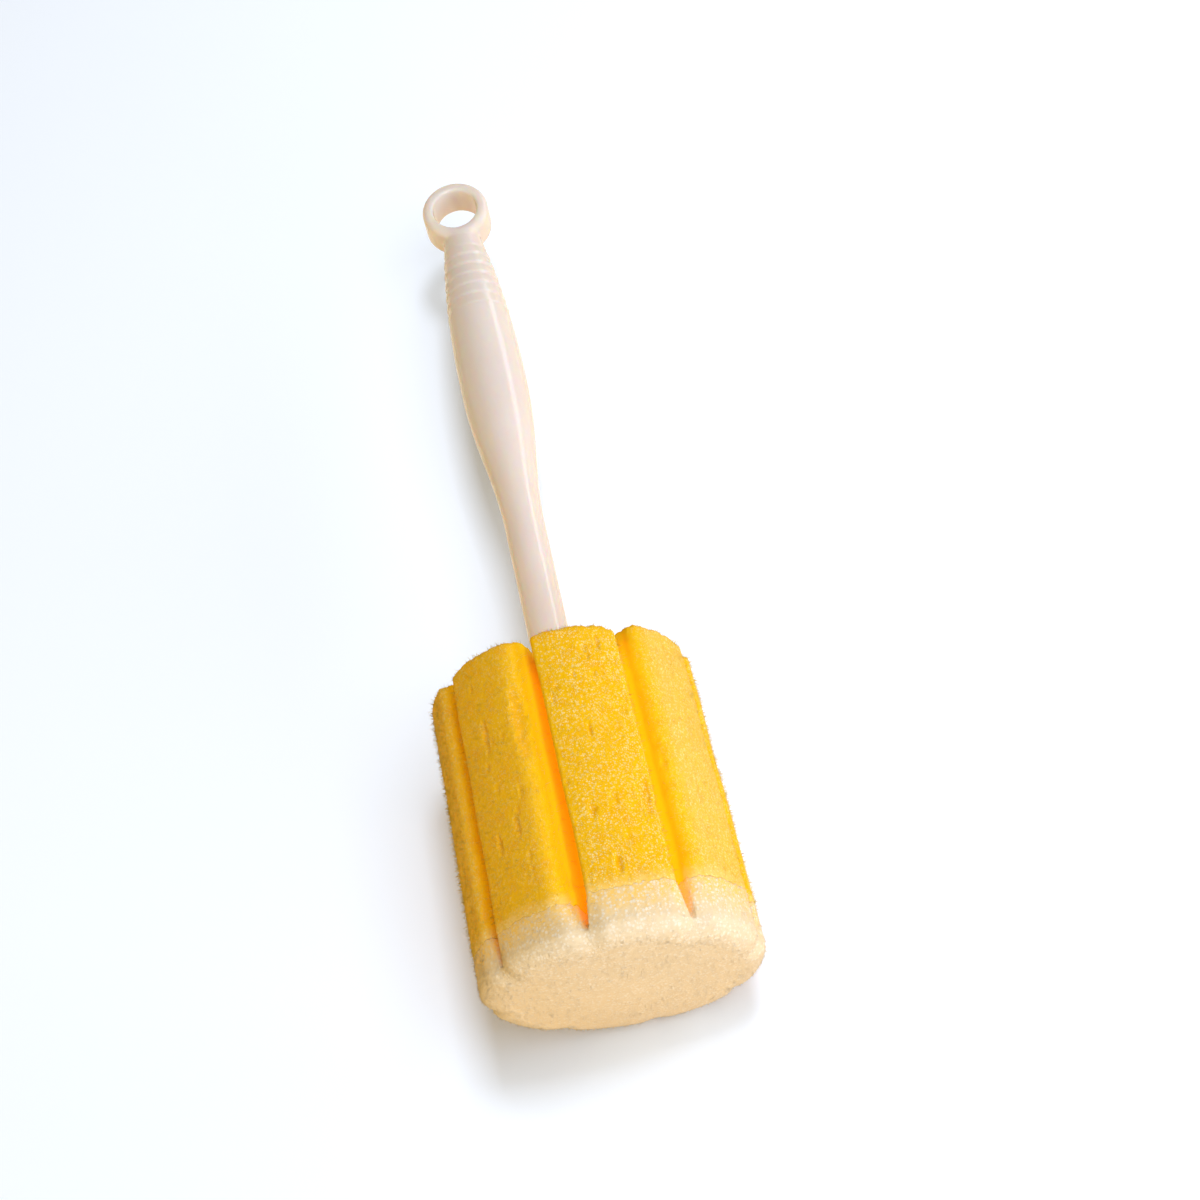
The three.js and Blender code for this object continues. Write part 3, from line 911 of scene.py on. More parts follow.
def torn_struts(name, points, normal, share, count, length, seed, material, body_slot):
    """Broken struts that stand out of the cut foam, as three-sided needles with a closed foot.

    Each grows from a random place of the grid, picked by area times share, along the normal with a random
    lean. Their mean length is given: most are shorter and few are much longer. A needle is too thin for its
    own shading to show, so it takes the foam's normal. In the UV map each has a small square of its own.
    """
    rng = np.random.default_rng(seed)
    columns = points.shape[1]
    beside = np.roll(points, -1, axis=1)
    area = np.linalg.norm(np.cross(beside[:-1] - points[:-1], points[1:] - points[:-1]), axis=-1)
    chance = np.cumsum((area * np.minimum(share[:-1], share[1:])).ravel())
    row, column = np.divmod(np.searchsorted(chance, rng.random(count) * chance[-1]), columns)
    climb, turn = rng.random((2, count, 1))
    low = points[row, column] * (1.0 - turn) + beside[row, column] * turn
    high = points[row + 1, column] * (1.0 - turn) + beside[row + 1, column] * turn
    root = low * (1.0 - climb) + high * climb
    outwards = normal[row, column]
    lean = unit(outwards + STRUT_LEAN * rng.normal(size=(count, 3)))
    first = unit(np.cross(lean, rng.normal(size=(count, 3))))
    second = np.cross(lean, first)
    reach = length * np.minimum(rng.exponential(1.0, (count, 1)), STRUT_LONGEST)
    foot = root - STRUT_SINK * lean
    turns = 2.0 * np.pi / 3.0 * np.arange(3)
    corners = [foot + STRUT_RADIUS * (np.cos(angle) * first + np.sin(angle) * second) for angle in turns]
    places = on_table(np.stack([*corners, root + reach * lean], axis=1).reshape(-1, 3))
    needle = np.array([[0, 1, 3], [1, 2, 3], [2, 0, 3], [2, 1, 0]])
    sides = (4 * np.arange(count)[:, None, None] + needle).reshape(-1, 3)
    mesh = mesh_from_faces(name, places, np.zeros((0, 4), dtype=int), sides)
    mesh.normals_split_custom_set_from_vertices(np.repeat(outwards @ HEAD_AXES, 4, axis=0).tolist())
    across_map = int(np.ceil(np.sqrt(count)))
    square = np.stack(np.divmod(np.arange(count), across_map), axis=-1)[:, None, :]
    triangle = np.array([[0.2, 0.2], [0.8, 0.2], [0.2, 0.8]])
    write_uv(mesh, np.tile((square + triangle) / across_map, (1, 4, 1)))
    return add_object(name, mesh, material, body_slot)


print("share of struts left deep in a slot:", round(strut_share(1.0), 2))

# %% [markdown]
# ## The sponge body
# The yellow foam is the part that wipes the glass. Its grid starts on the glued face below, turns out to
# the border, climbs the flank, rounds the rim, crosses the top face to the neck and goes down the bore
# where the stem is glued. The hidden faces stay smooth, and what can be seen is roughened.

# %% Rows of the sponge body
GLUED_FACE = 13.5
GLUED_SHARES = (0.97, 0.8, 0.6, 0.4, 0.2, 0.1, 0.02)
GLUED_MIDDLE = 1.0
BORDER_GAP = 0.0002
TOP_RIM = 1.3
RAGGED_SHARE = 0.15
NECK_HOLE = 5.85
NECK_SINK = 0.6
NECK_CALM = 6.0
NECK_BELOW = 81.0
GLUE_HOLE = 7.35
GLUE_TOP = 76.6
BORE_STATIONS = (60.0, 42.0)
BORE_END = 26.1
FLANK_ROWS = 205
RIM_ROWS = 6
TOP_ROWS = 44


def sponge_rows():
    """Station, inset, share, circle, weight and facing of the rows, from the glued face to the bore."""
    ones = np.ones(COLUMNS)
    rows = []
    for drawn in GLUED_SHARES:
        rows.append((GLUED_FACE * ones, 0.0, drawn, GLUED_MIDDLE, 0.0, -1.0))
    foot = border + BORDER_GAP
    for climb in np.linspace(0.0, 1.0, FLANK_ROWS):
        rows.append((foot + (top_edge - TOP_RIM - foot) * climb, 0.0, 0.0, GLUED_MIDDLE, 1.0, 0.0))
    for turning in np.linspace(0.0, np.pi / 2.0, RIM_ROWS)[1:]:
        below = TOP_RIM * (1.0 - np.sin(turning))
        rows.append((top_edge - below, TOP_RIM * (1.0 - np.cos(turning)), 0.0, NECK_HOLE, 1.0, 0.0))
    for drawn in np.linspace(0.0, 1.0, TOP_ROWS)[1:]:
        height = top_broad + (HEAD_LENGTH - NECK_SINK - top_broad) * smooth(drawn)
        height = height + top_ragged * (1.0 - smooth(drawn / RAGGED_SHARE))
        rows.append((height, TOP_RIM, drawn, NECK_HOLE, smooth(NECK_CALM * (1.0 - drawn)), 1.0))
    bore = [(NECK_BELOW, NECK_HOLE), (GLUE_TOP, NECK_HOLE), (GLUE_TOP, GLUE_HOLE)]
    bore += [(y, GLUE_HOLE) for y in (*BORE_STATIONS, BORE_END)]
    for y, circle in (*bore, (BORE_END, GLUE_HOLE / 2.0)):
        rows.append((y * ones, 0.0, 1.0, circle, 0.0, 1.0))
    return stack_rows(rows)


print("sponge body has", len(sponge_rows()[0]), "rows")

# %% Sponge body
YELLOW_CELL = 0.9
YELLOW_HEIGHT = 0.08
YELLOW_SEED = 100
BORDER_CALM = 1.2
SLOT_START = 1.5
SLOT_EDGE = 3.0
TOP_LIT = 12.0
SPECKLE_START = 0.4
SPECKLE_EDGE = 1.6
SPECKLE_MEAN = 0.8
SPECKLE_SWING = 0.35
SPECKLE_PATCH = 5.0
SPECKLE_SEED = 71
BORDER_SPECKLE = 0.5
YELLOW_FADE = 4.0
BORDER_SHARE = 0.85
BLEND_RAGGED = 0.5
YELLOW_RAG_SIZE = 0.9
YELLOW_RAG_SEED = 72
SPONGE_STRUTS = 48000
SPONGE_STRUT_LENGTH = 0.58
SPONGE_STRUT_SEED = 110
PIT_DEPTH = 0.5
PIT_SHADE = 0.6


def make_sponge_body():
    """Outline at each row's mean radius, drawn in, placed at its stations, roughened and marked."""
    station, inset, share, radius, weight, facing = sponge_rows()
    level = station.mean(axis=1, keepdims=True)
    outer = head_radius(level)
    flat = lobed_outline(outer - inset, outer - SLOT_DEPTH, slot_widths(level))
    depth = depth_in_slot(flat, outer - inset, share)
    in_slot = smooth((depth - SLOT_START) / SLOT_EDGE)
    points = place_rows(draw_in(flat, radius, share[..., None]), station)
    near_border = smooth(1.0 - (station - border) / YELLOW_FADE)
    from_edge = smooth(across / per_lobe(EDGE_WIDTHS))
    kept = 1.0 - per_lobe(PLAIN_EDGES) * (1.0 - from_edge)
    outside = kept * (1.0 - smooth((depth - SPECKLE_START) / SPECKLE_EDGE))
    patchy = SPECKLE_MEAN + SPECKLE_SWING * soft_noise(points / SPECKLE_PATCH, SPECKLE_SEED)
    ragged = BLEND_RAGGED * soft_noise(points / YELLOW_RAG_SIZE, YELLOW_RAG_SEED)
    calm = smooth((station - border - BORDER_GAP) / BORDER_CALM)
    points, normal, hollow = roughen(points, weight, facing, calm, in_slot, YELLOW_CELL, YELLOW_HEIGHT,
                                     YELLOW_SEED, hollows)
    torn_struts("sponge_body_struts", points, normal, kept * weight * strut_share(in_slot), SPONGE_STRUTS,
                SPONGE_STRUT_LENGTH, SPONGE_STRUT_SEED, yellow_struts, "yellow_foam")
    at_border = near_border * (BORDER_SHARE * (1.0 - in_slot) + ragged)
    marks = {
        # Slot colour: painted light that comes through the lobes.
        "slot": in_slot,
        # Painted glow in the slots, less of it towards the top face.
        "glow": slot_glow(depth) * smooth((HEAD_LENGTH - level) / TOP_LIT),
        # Painted light: the tone near the border, for light from the pale foam, and a paler tone on some
        # lobes.
        "painted_light_and_shade": at_border + per_lobe(PAINTED_PALENESS) * from_edge * outside,
        # Pale strut ends, more on lobes in the light: grain and painted light.
        "speckle_by_light": (per_lobe(SPECKLES_BY_LIGHT) * patchy + BORDER_SPECKLE * near_border) * outside,
        # Painted shade in the hollows.
        "pit_shade": PIT_SHADE * smooth(hollow / PIT_DEPTH),
    }
    ends = np.array([[0.0, GLUED_FACE, 0.0], [0.0, BORE_END, 0.0]])
    return foam_object("sponge_body_foam", points, weight, marks, ends, yellow_foam, "yellow_foam",
                       "sponge_body")


make_sponge_body()

# %% [markdown]
# ## The scouring tip
# The pale foam is finer and firmer. The slots reach it from above and run out to shallow scallops in its
# rounded end rim. Its grid starts in the middle of the end face, rounds the rim and climbs to the border,
# where it meets the sponge, and closes on its own glued face.

# %% Rows of the scouring tip
TIP_TOP = 12.5
TIP_RIM = 5.0
RIM_INSET = 7.5
END_OUT = -1.9
END_CROWN = 1.2
END_FACE_WEIGHT = 0.5
END_MIDDLE = 0.6
END_LAST_SHARE = 0.985
END_CALM = 2.0
END_CALM_START = 0.45
END_ROWS = 70
END_RIM_ROWS = 36
TIP_FLANK_ROWS = 30


def tip_rows():
    """Station, inset, share, weight and facing of the tip's rows, from the end face to the glued face."""
    ones = np.ones(COLUMNS)
    rows = []
    for drawn in np.linspace(END_LAST_SHARE, 0.0, END_ROWS):
        height = END_OUT + END_CROWN * (1.0 - drawn) ** 2
        uneven = END_FACE_WEIGHT * (1.0 - smooth(END_CALM * (drawn - END_CALM_START)))
        rows.append((height * ones, RIM_INSET, drawn, uneven, -1.0))
    for turning in np.linspace(0.0, np.pi / 2.0, END_RIM_ROWS)[1:]:
        height = END_OUT + END_CROWN + TIP_RIM * (1.0 - np.cos(turning))
        rows.append((height * ones, RIM_INSET * (1.0 - np.sin(turning)), 0.0, 1.0, 0.0))
    for climb in np.linspace(0.0, 1.0, TIP_FLANK_ROWS)[1:]:
        rows.append((height + (border - BORDER_GAP - height) * climb, 0.0, 0.0, 1.0, 0.0))
    for drawn in reversed(GLUED_SHARES):
        rows.append((TIP_TOP * ones, 0.0, drawn, 0.0, 1.0))
    return stack_rows(rows)


print("scouring tip has", len(tip_rows()[0]), "rows")

# %% Scouring tip
VALLEY_DIP = 1.7
VALLEY_HALF = 9.0
CROWD_FLOOR = 0.3
CROWD_WALL = 1.4
RUN_OUT_END = 3.5
RUN_OUT_POWER = 0.8
END_SLANT = 1.7
PALE_CELL = 0.75
PALE_HEIGHT = 0.08
PALE_SEED = 300
PALE_FADE = 11.0
PALE_RAG_SIZE = 0.8
PALE_RAG_SEED = 73
TIP_SLOT_LEAST = 0.4
TIP_SPECKLE = 0.85
TIP_BORDER_LOSS = 0.35
LIT_ANGLE = 80.0
LIT_MEAN = 1.25
LIT_SWING = 0.6
PAINTED_SHADE_WARMTH = 0.16
TIP_STRUTS = 16000
TIP_STRUT_LENGTH = 0.35
TIP_STRUT_SEED = 310


def scalloped_outline(outer):
    """x and z of a nearly round outline with a shallow valley at each slot.

    Columns keep their place across a lobe, and those of a slot's walls and floor crowd into the valley.
    """
    last_wall = COLUMNS_PER_LOBE - WALL_STEPS
    marks = [0, FLOOR_STEPS, FLOOR_STEPS + WALL_STEPS, last_wall, COLUMNS_PER_LOBE]
    angles = [-CROWD_FLOOR, CROWD_FLOOR, CROWD_WALL, PITCH - CROWD_WALL, PITCH - CROWD_FLOOR]
    on_lobe = (in_lobe >= marks[2]) & (in_lobe < last_wall)
    spread = CROWD_WALL + across * (PITCH - 2.0 * CROWD_WALL)
    angle = np.where(on_lobe, spread, np.interp(in_lobe, marks, angles))
    from_slot = np.minimum(np.abs(angle), np.abs(PITCH - angle))
    valley = VALLEY_DIP * (1.0 - smooth(from_slot / VALLEY_HALF))
    return polar(outer - valley, np.radians(angle + PITCH * lobe_of_column))


def make_scouring_tip():
    """Outline whose slots run out from the border towards the end face, drawn in, roughened and marked."""
    station, inset, share, weight, facing = tip_rows()
    level = station.mean(axis=1, keepdims=True)
    outer = head_radius(level)
    slotted = lobed_outline(outer - inset, outer - SLOT_DEPTH, slot_widths(level))
    below = np.clip(1.0 - level / TIP_TOP, 0.0, 1.0)
    run_out = np.clip((TIP_TOP - level) / (TIP_TOP - RUN_OUT_END), 0.0, 1.0)[..., None] ** RUN_OUT_POWER
    flat = slotted + (scalloped_outline(outer - inset) - slotted) * run_out
    depth = depth_in_slot(flat, outer - inset, share)
    points = place_rows(draw_in(flat, END_MIDDLE, share[..., None]), station)
    points[..., 1] -= END_SLANT * below * points[..., 0] / HEAD_END_RADIUS
    near_border = smooth(1.0 - (border - station) / PALE_FADE)
    ragged = BLEND_RAGGED * soft_noise(points / PALE_RAG_SIZE, PALE_RAG_SEED)
    in_slot = smooth((depth - VALLEY_DIP) / SLOT_EDGE)
    calm = smooth((border - BORDER_GAP - station) / BORDER_CALM)
    points, normal, hollow = roughen(points, weight, facing, calm, in_slot, PALE_CELL, PALE_HEIGHT,
                                     PALE_SEED, [])
    torn_struts("scouring_tip_struts", points, normal, weight * strut_share(in_slot), TIP_STRUTS,
                TIP_STRUT_LENGTH, TIP_STRUT_SEED, pale_struts, "pale_foam")
    # lit says how much a column faces the light from the right. More pale strut ends show where it does,
    # painted light, and the side away from it gets a warmer tone, painted shade.
    lit = np.cos(column_angle - np.radians(LIT_ANGLE)) * (1.0 - share)
    ends_seen = (TIP_SPECKLE - TIP_BORDER_LOSS * near_border) * (1.0 - in_slot)
    marks = {
        # Slot colour: painted light from the yellow foam, strongest near the border.
        "slot": in_slot * np.clip(TIP_SLOT_LEAST + near_border, 0.0, 1.0),
        # Painted glow in the slots, only near the border.
        "glow": slot_glow(depth) * near_border,
        # Near the border a tone that is painted light from the yellow foam, and on the side away from the
        # light a warmer one, painted shade.
        "painted_light_and_shade": near_border * (BORDER_SHARE + ragged) + PAINTED_SHADE_WARMTH * np.maximum(-lit, 0.0),
        "speckle_by_light": ends_seen * (LIT_MEAN + LIT_SWING * lit),
        "pit_shade": hollow,
    }
    ends = np.array([[0.0, END_OUT, 0.0], [0.0, TIP_TOP, 0.0]])
    return foam_object("scouring_tip_foam", points, weight, marks, ends, pale_foam, "pale_foam",
                       "scouring_tip")


make_scouring_tip()

# %% [markdown]
# ## The handle's plastic
# The handle is moulded in an ivory plastic that lets a little light in, so its shaded side turns warm. It
# is glossy, with a faint mottle. Subsurface light and a small roughness do most of it; the group adds the
# mottle.

# %% Plastic and glue materials
IVORY_LOW = (0.81, 0.763, 0.78)
IVORY_HIGH = (0.835, 0.793, 0.81)
GLUE_LOW = (0.58, 0.36, 0.10)
GLUE_HIGH = (0.72, 0.50, 0.20)
MOTTLE_RANGE = (0.3, 0.7)
ROUGHNESS_SPREAD = 0.04
MOTTLE_BUMP = 0.05
MOTTLE_HEIGHT = 0.0001
COAT_ROUGHNESS = 0.04
SUBSURFACE = 0.9
SUBSURFACE_RADIUS = (1.0, 0.6, 0.3)


def plastic_material(name, low, high, fine, roughness, light_depth, coat):
    """Plastic whose tone wanders between two colours and whose roughness follows the fine mottle."""
    material, tree, shader, mottle = material_with_group(name, moulded_mottle)
    mottle.inputs["Fine"].default_value = fine
    tone = mixed_colour(tree, between(tree, mottle.outputs["Broad"], *MOTTLE_RANGE), low, high)
    tree.links.new(tone, shader.inputs["Base Color"])
    rough = tree.nodes.new("ShaderNodeMapRange")
    tree.links.new(mottle.outputs["Fine"], rough.inputs["Value"])
    rough.inputs["To Min"].default_value = roughness - ROUGHNESS_SPREAD
    rough.inputs["To Max"].default_value = roughness + ROUGHNESS_SPREAD
    tree.links.new(rough.outputs["Result"], shader.inputs["Roughness"])
    add_bump(tree, shader, mottle.outputs["Fine"], MOTTLE_BUMP, MOTTLE_HEIGHT)
    shader.inputs["Coat Weight"].default_value = coat
    shader.inputs["Coat Roughness"].default_value = COAT_ROUGHNESS
    shader.inputs["Subsurface Weight"].default_value = SUBSURFACE
    shader.inputs["Subsurface Scale"].default_value = light_depth
    shader.inputs["Subsurface Radius"].default_value = SUBSURFACE_RADIUS
    return material


ivory_plastic = plastic_material("ivory_plastic", IVORY_LOW, IVORY_HIGH, fine=900.0, roughness=0.12,
                                 light_depth=0.007, coat=0.1)
cured_glue = plastic_material("cured_glue", GLUE_LOW, GLUE_HIGH, fine=1500.0, roughness=0.45,
                              light_depth=0.002, coat=0.0)
stem_glue = frame["nodes"]["stem_glue"].data
stem_glue.materials.clear()
stem_glue.materials.append(cured_glue)
print("plastics:", ivory_plastic.name, "and", cured_glue.name)

# %% [markdown]
# ## The film between the foams
# A film of adhesive bonds the two foams. It hardly shows, but it must not stick out where a lobe's corner
# is worn round, so it is cut to the same outline, a little smaller: two rows below, two above, closed at
# both ends.

# %% Lamination film
FILM_BOTTOM = 12.8
FILM_TOP = 13.2
FILM_INSET = 0.8
FILM_SLOTS = 1.35
FILM_MIDDLE = 1.0


def make_lamination_film():
    """The lobed outline, inset and with wider slots, at both faces of the film, drawn in to its middle."""
    station = np.array([FILM_BOTTOM, FILM_BOTTOM, FILM_TOP, FILM_TOP])[:, None]
    share = np.array([GLUED_SHARES[0], 0.0, 0.0, GLUED_SHARES[0]])[:, None]
    outer = head_radius(station) - FILM_INSET
    flat = lobed_outline(outer, outer - SLOT_DEPTH, FILM_SLOTS * slot_widths(station))
    points = place_rows(draw_in(flat, FILM_MIDDLE, share[..., None]), station)
    ends = np.array([[0.0, FILM_BOTTOM, 0.0], [0.0, FILM_TOP, 0.0]])
    mesh = closed_grid("lamination_film_sheet", points, ends)
    mesh.polygons.foreach_set("use_smooth", np.zeros(len(mesh.polygons), dtype=bool))
    return add_object("lamination_film_sheet", mesh, cured_glue, "cured_glue", "lamination_film")


make_lamination_film()

# %% [markdown]
# ## The handle as one formula
# The stem, neck and grip are a turned shape, and the ring is a rounded bar bent round a hole. On a
# moulded handle they flow into each other. A Boolean would leave a sharp crease there. So the handle is
# written as a distance: below zero inside, above zero outside, and the smaller of two distances,
# softened, joins two shapes with a fillet. The surface is where the distance is zero.

# %% Sizes of the handle
NECK_RADIUS = 5.55
NECK_END = 136.0
BELLY_RADIUS = 9.5
BELLY_TOP = 183.0
GRIP_END = 234.0
THROAT_RADIUS = 5.3
RIBS = 6
RIB_PITCH = 3.8
RIB_START = 206.0
RIB_HEIGHT = 0.28
RIB_LEDGE = 0.8
RIB_FADE = 4.0
BELLY_POWER = 1.2
GRIP_POWER = 2.2
RING_RADIUS = 9.65
RING_BORE = 6.5
RING_HALF_WIDTH = 5.35
RING_OUTER_EDGE = 1.7
RING_INNER_EDGE = 0.7
RING_CENTRE = 242.03
RING_FILLET = 1.2
THROAT_REACH = 1.6

STEM_TIP = 28.3
STEM_RADIUS = 4.4
STEM_POINT = 4.0
STEM_TOP = 76.3
SHOULDER = 3.0
BARBS = 4
BARB_HEIGHT = 0.8


def stem_stations():
    """Stations and radii of the barbed stem: a cone, evenly spaced barbs and a shoulder up to the neck."""
    stations = [STEM_TIP, STEM_TIP + STEM_POINT]
    radii = [STEM_RADIUS / 2.0, STEM_RADIUS]
    first = STEM_TIP + STEM_POINT + BARB_HEIGHT
    pitch = (STEM_TOP - SHOULDER - BARB_HEIGHT - first) / BARBS
    for foot in first + pitch * np.arange(BARBS):
        stations += [foot, foot + pitch / 2.0, foot + pitch / 2.0 + BARB_HEIGHT]
        radii += [STEM_RADIUS, STEM_RADIUS + BARB_HEIGHT, STEM_RADIUS]
    stations += [STEM_TOP - SHOULDER, STEM_TOP]
    radii += [STEM_RADIUS, NECK_RADIUS]
    return np.array(stations), np.array(radii)


STEM_STATIONS, STEM_RADII = stem_stations()
print("belly is", 2 * BELLY_RADIUS, "mm thick, ring is", 2 * RING_RADIUS, "mm across")

# %% Distance to the handle
def shaft_radius(y):
    """Radius of the turned part: the stem, the straight neck, an S-shaped rise to the belly, and a fall that
    steepens towards the ring, with ribs that widen towards the head and end in a ledge."""
    rise = smooth((BELLY_TOP - y) / (BELLY_TOP - NECK_END)) ** BELLY_POWER
    climbing = BELLY_RADIUS + (NECK_RADIUS - BELLY_RADIUS) * rise
    fall = np.clip((y - BELLY_TOP) / (GRIP_END - BELLY_TOP), 0.0, 1.0) ** GRIP_POWER
    falling = BELLY_RADIUS + (THROAT_RADIUS - BELLY_RADIUS) * fall
    turn = (y - RIB_START) / RIB_PITCH
    along_rib = turn - np.floor(turn)
    ledge = RIB_LEDGE / RIB_PITCH
    slope = 1.0 - ledge
    saw = 0.5 - along_rib / slope + smooth((along_rib - slope) / ledge) / slope
    ribbed = (turn > -ledge) & (turn < RIBS)
    ends = smooth((turn + ledge) / ledge) * smooth((RIBS - turn) * RIB_FADE)
    falling = falling + np.where(ribbed, RIB_HEIGHT * saw * ends, 0.0)
    stem = np.interp(y, STEM_STATIONS, STEM_RADII)
    return np.where(y < STEM_TOP, stem, np.where(y < BELLY_TOP, climbing, falling))


def rounded_corner(a, b, edge):
    """Distance to a corner with a round edge, from the distances past its two arc centre lines."""
    return np.hypot(np.maximum(a, 0.0), np.maximum(b, 0.0)) + np.minimum(np.maximum(a, b), 0.0) - edge


def handle_distance(points):
    """The shaft's and the ring's distances, joined by a softened minimum."""
    x, y, z = points[..., 0], points[..., 1], points[..., 2]
    from_hole = np.hypot(x, y - RING_CENTRE)
    shaft = np.maximum(np.hypot(x, z) - shaft_radius(y), STEM_TIP - y)
    shaft = np.maximum(shaft, RING_RADIUS - THROAT_REACH - from_hole)
    shaft = np.maximum(shaft, y - RING_CENTRE)
    height = np.abs(z) - RING_HALF_WIDTH
    past_rim = from_hole - RING_RADIUS + RING_OUTER_EDGE
    past_bore = RING_BORE + RING_INNER_EDGE - from_hole
    outside = rounded_corner(past_rim, height + RING_OUTER_EDGE, RING_OUTER_EDGE)
    inside = rounded_corner(past_bore, height + RING_INNER_EDGE, RING_INNER_EDGE)
    ring = np.maximum(outside, inside)
    closeness = np.maximum(RING_FILLET - np.abs(shaft - ring), 0.0) / RING_FILLET
    return np.minimum(shaft, ring) - closeness ** 2 * RING_FILLET / 4.0


hole_middle = np.array([0.0, RING_CENTRE, 0.0])
print("from the middle of the hole to the plastic:", round(float(handle_distance(hole_middle)), 2), "mm")

# %% [markdown]
# ## Finding the zero surface
# A lattice of small boxes covers the handle. Each box whose corners lie on both sides of the surface gets
# one point, and four boxes round a crossed edge make a quad. Then every point slides along the steepest
# way until its distance is zero, so the mesh is as smooth as the formula. A Remesh modifier works like
# this too, but it leaves small steps that a glossy plastic would show.

# %% Handle mesh
BOX = np.array([0.42, 0.36, 0.42])
LATTICE_MARGIN = 0.8
SLOPE_STEP = 0.01
SLOPE_LEAST = 0.25
FIRST_SLIDES = 3
EVEN_PASSES = 2
EVEN_ROUNDS = 3
LATER_SLIDES = 2


def zero_surface(distance, low, high):
    """Points and quads of the surface where distance is zero, between two corners."""
    counts = np.ceil((high - low) / BOX).astype(int)
    axes = [low[axis] + BOX[axis] * np.arange(counts[axis] + 1) for axis in range(3)]
    lattice = np.stack(np.meshgrid(*axes, indexing="ij"), axis=-1)
    inside = distance(lattice) < 0.0
    corner_sum = sum(inside[tuple(slice(c, c + n) for c, n in zip(corner, counts))].astype(int)
                     for corner in product((0, 1), repeat=3))
    crossed = (corner_sum > 0) & (corner_sum < 8)
    number = np.full(crossed.shape, -1)
    number[crossed] = np.arange(crossed.sum())
    points = low + BOX * (np.argwhere(crossed) + 0.5)
    quads = []
    for axis in range(3):
        before = [slice(1, -1)] * 3
        after = [slice(1, -1)] * 3
        before[axis], after[axis] = slice(0, -1), slice(1, None)
        here, there = inside[tuple(before)], inside[tuple(after)]
        one, two = (axis + 1) % 3, (axis + 2) % 3
        for leaving in (True, False):
            edge = np.argwhere(here & ~there if leaving else ~here & there)
            edge += np.array([0 if k == axis else 1 for k in range(3)])
            order = ((1, 1), (0, 1), (0, 0), (1, 0)) if leaving else ((1, 1), (1, 0), (0, 0), (0, 1))
            ring = []
            for back_one, back_two in order:
                box = edge.copy()
                box[:, one] -= back_one
                box[:, two] -= back_two
                ring.append(number[tuple(box.T)])
            quads.append(np.stack(ring, axis=-1))
    return points, np.concatenate(quads)


def slide_to_zero(distance, points, rounds):
    """Each round moves a point by its distance against the slope, found by differences along each axis."""
    steps = SLOPE_STEP * np.eye(3)
    for _ in range(rounds):
        rises = [distance(points + step) - distance(points - step) for step in steps]
        slope = np.stack(rises, axis=-1) / (2.0 * SLOPE_STEP)
        steep = np.maximum((slope ** 2).sum(axis=-1), SLOPE_LEAST)
        points = points - slope * (distance(points) / steep)[:, None]
    return points


def even_out(points, quads, rounds):
    """Moves each point halfway to the middle of the quads round it, which evens out their shapes."""
    for _ in range(rounds):
        middles = points[quads].mean(axis=1)
        total = np.zeros_like(points)
        for corner in range(4):
            np.add.at(total, quads[:, corner], middles)
        share = np.bincount(quads.ravel(), minlength=len(points))[:, None]
        points = 0.5 * points + 0.5 * total / share
    return points


def make_handle():
    """Zero surface of the handle's distance, evened out and slid back onto the formula."""
    reach = max(RING_RADIUS, BELLY_RADIUS) + LATTICE_MARGIN
    low = np.array([-reach, STEM_TIP - LATTICE_MARGIN, -reach])
    high = np.array([reach, RING_CENTRE + RING_RADIUS + LATTICE_MARGIN, reach])
    points, quads = zero_surface(handle_distance, low, high)
    points = slide_to_zero(handle_distance, points, FIRST_SLIDES)
    for _ in range(EVEN_PASSES):
        points = even_out(points, quads, EVEN_ROUNDS)
        points = slide_to_zero(handle_distance, points, LATER_SLIDES)
    no_triangles = np.zeros((0, 3), dtype=int)
    mesh = mesh_from_faces("handle_moulded", in_frame(points, HANDLE_AXES), quads, no_triangles)
    return add_object("handle_moulded", mesh, ivory_plastic, "ivory_plastic", "handle")


make_handle()

# %% [markdown]
# ## Table, light and background
# The brush lies on a white table. Near the brush the camera sees the table's own colour, the brush's
# shadow and a faint glow. Farther away the glow grows until all is white, so no horizon shows. Only a
# direct look sees that glow, so the brush gets no extra light from it. In the photograph the shaded sides
# are warm, so the table and the room throw warm light back onto the brush. A curved paper sweep is the
# usual way to hide a horizon, but here it would have to hide it from all sides.

# %% Table
TABLE_SIZE = 2.2
TABLE_WHITE = (0.71, 0.80, 0.97)
TABLE_WARM = (0.68, 0.48, 0.24)
TABLE_REFLECTED = (0.86, 0.82, 0.76)
TABLE_LIFT = (0.10, 0.10, 0.10)
TABLE_NEAR = 0.35
TABLE_FAR = 0.6
WHITE = (1.0, 1.0, 1.0)


def seen_directly(tree, *other_rays):
    """1 where the camera, or a ray of another named kind, meets a surface, and 0 for all other light."""
    path = tree.nodes.new("ShaderNodeLightPath")
    value = path.outputs["Is Camera Ray"]
    for ray in other_rays:
        value = number_node(tree, "MAXIMUM", value, path.outputs[ray])
    return value


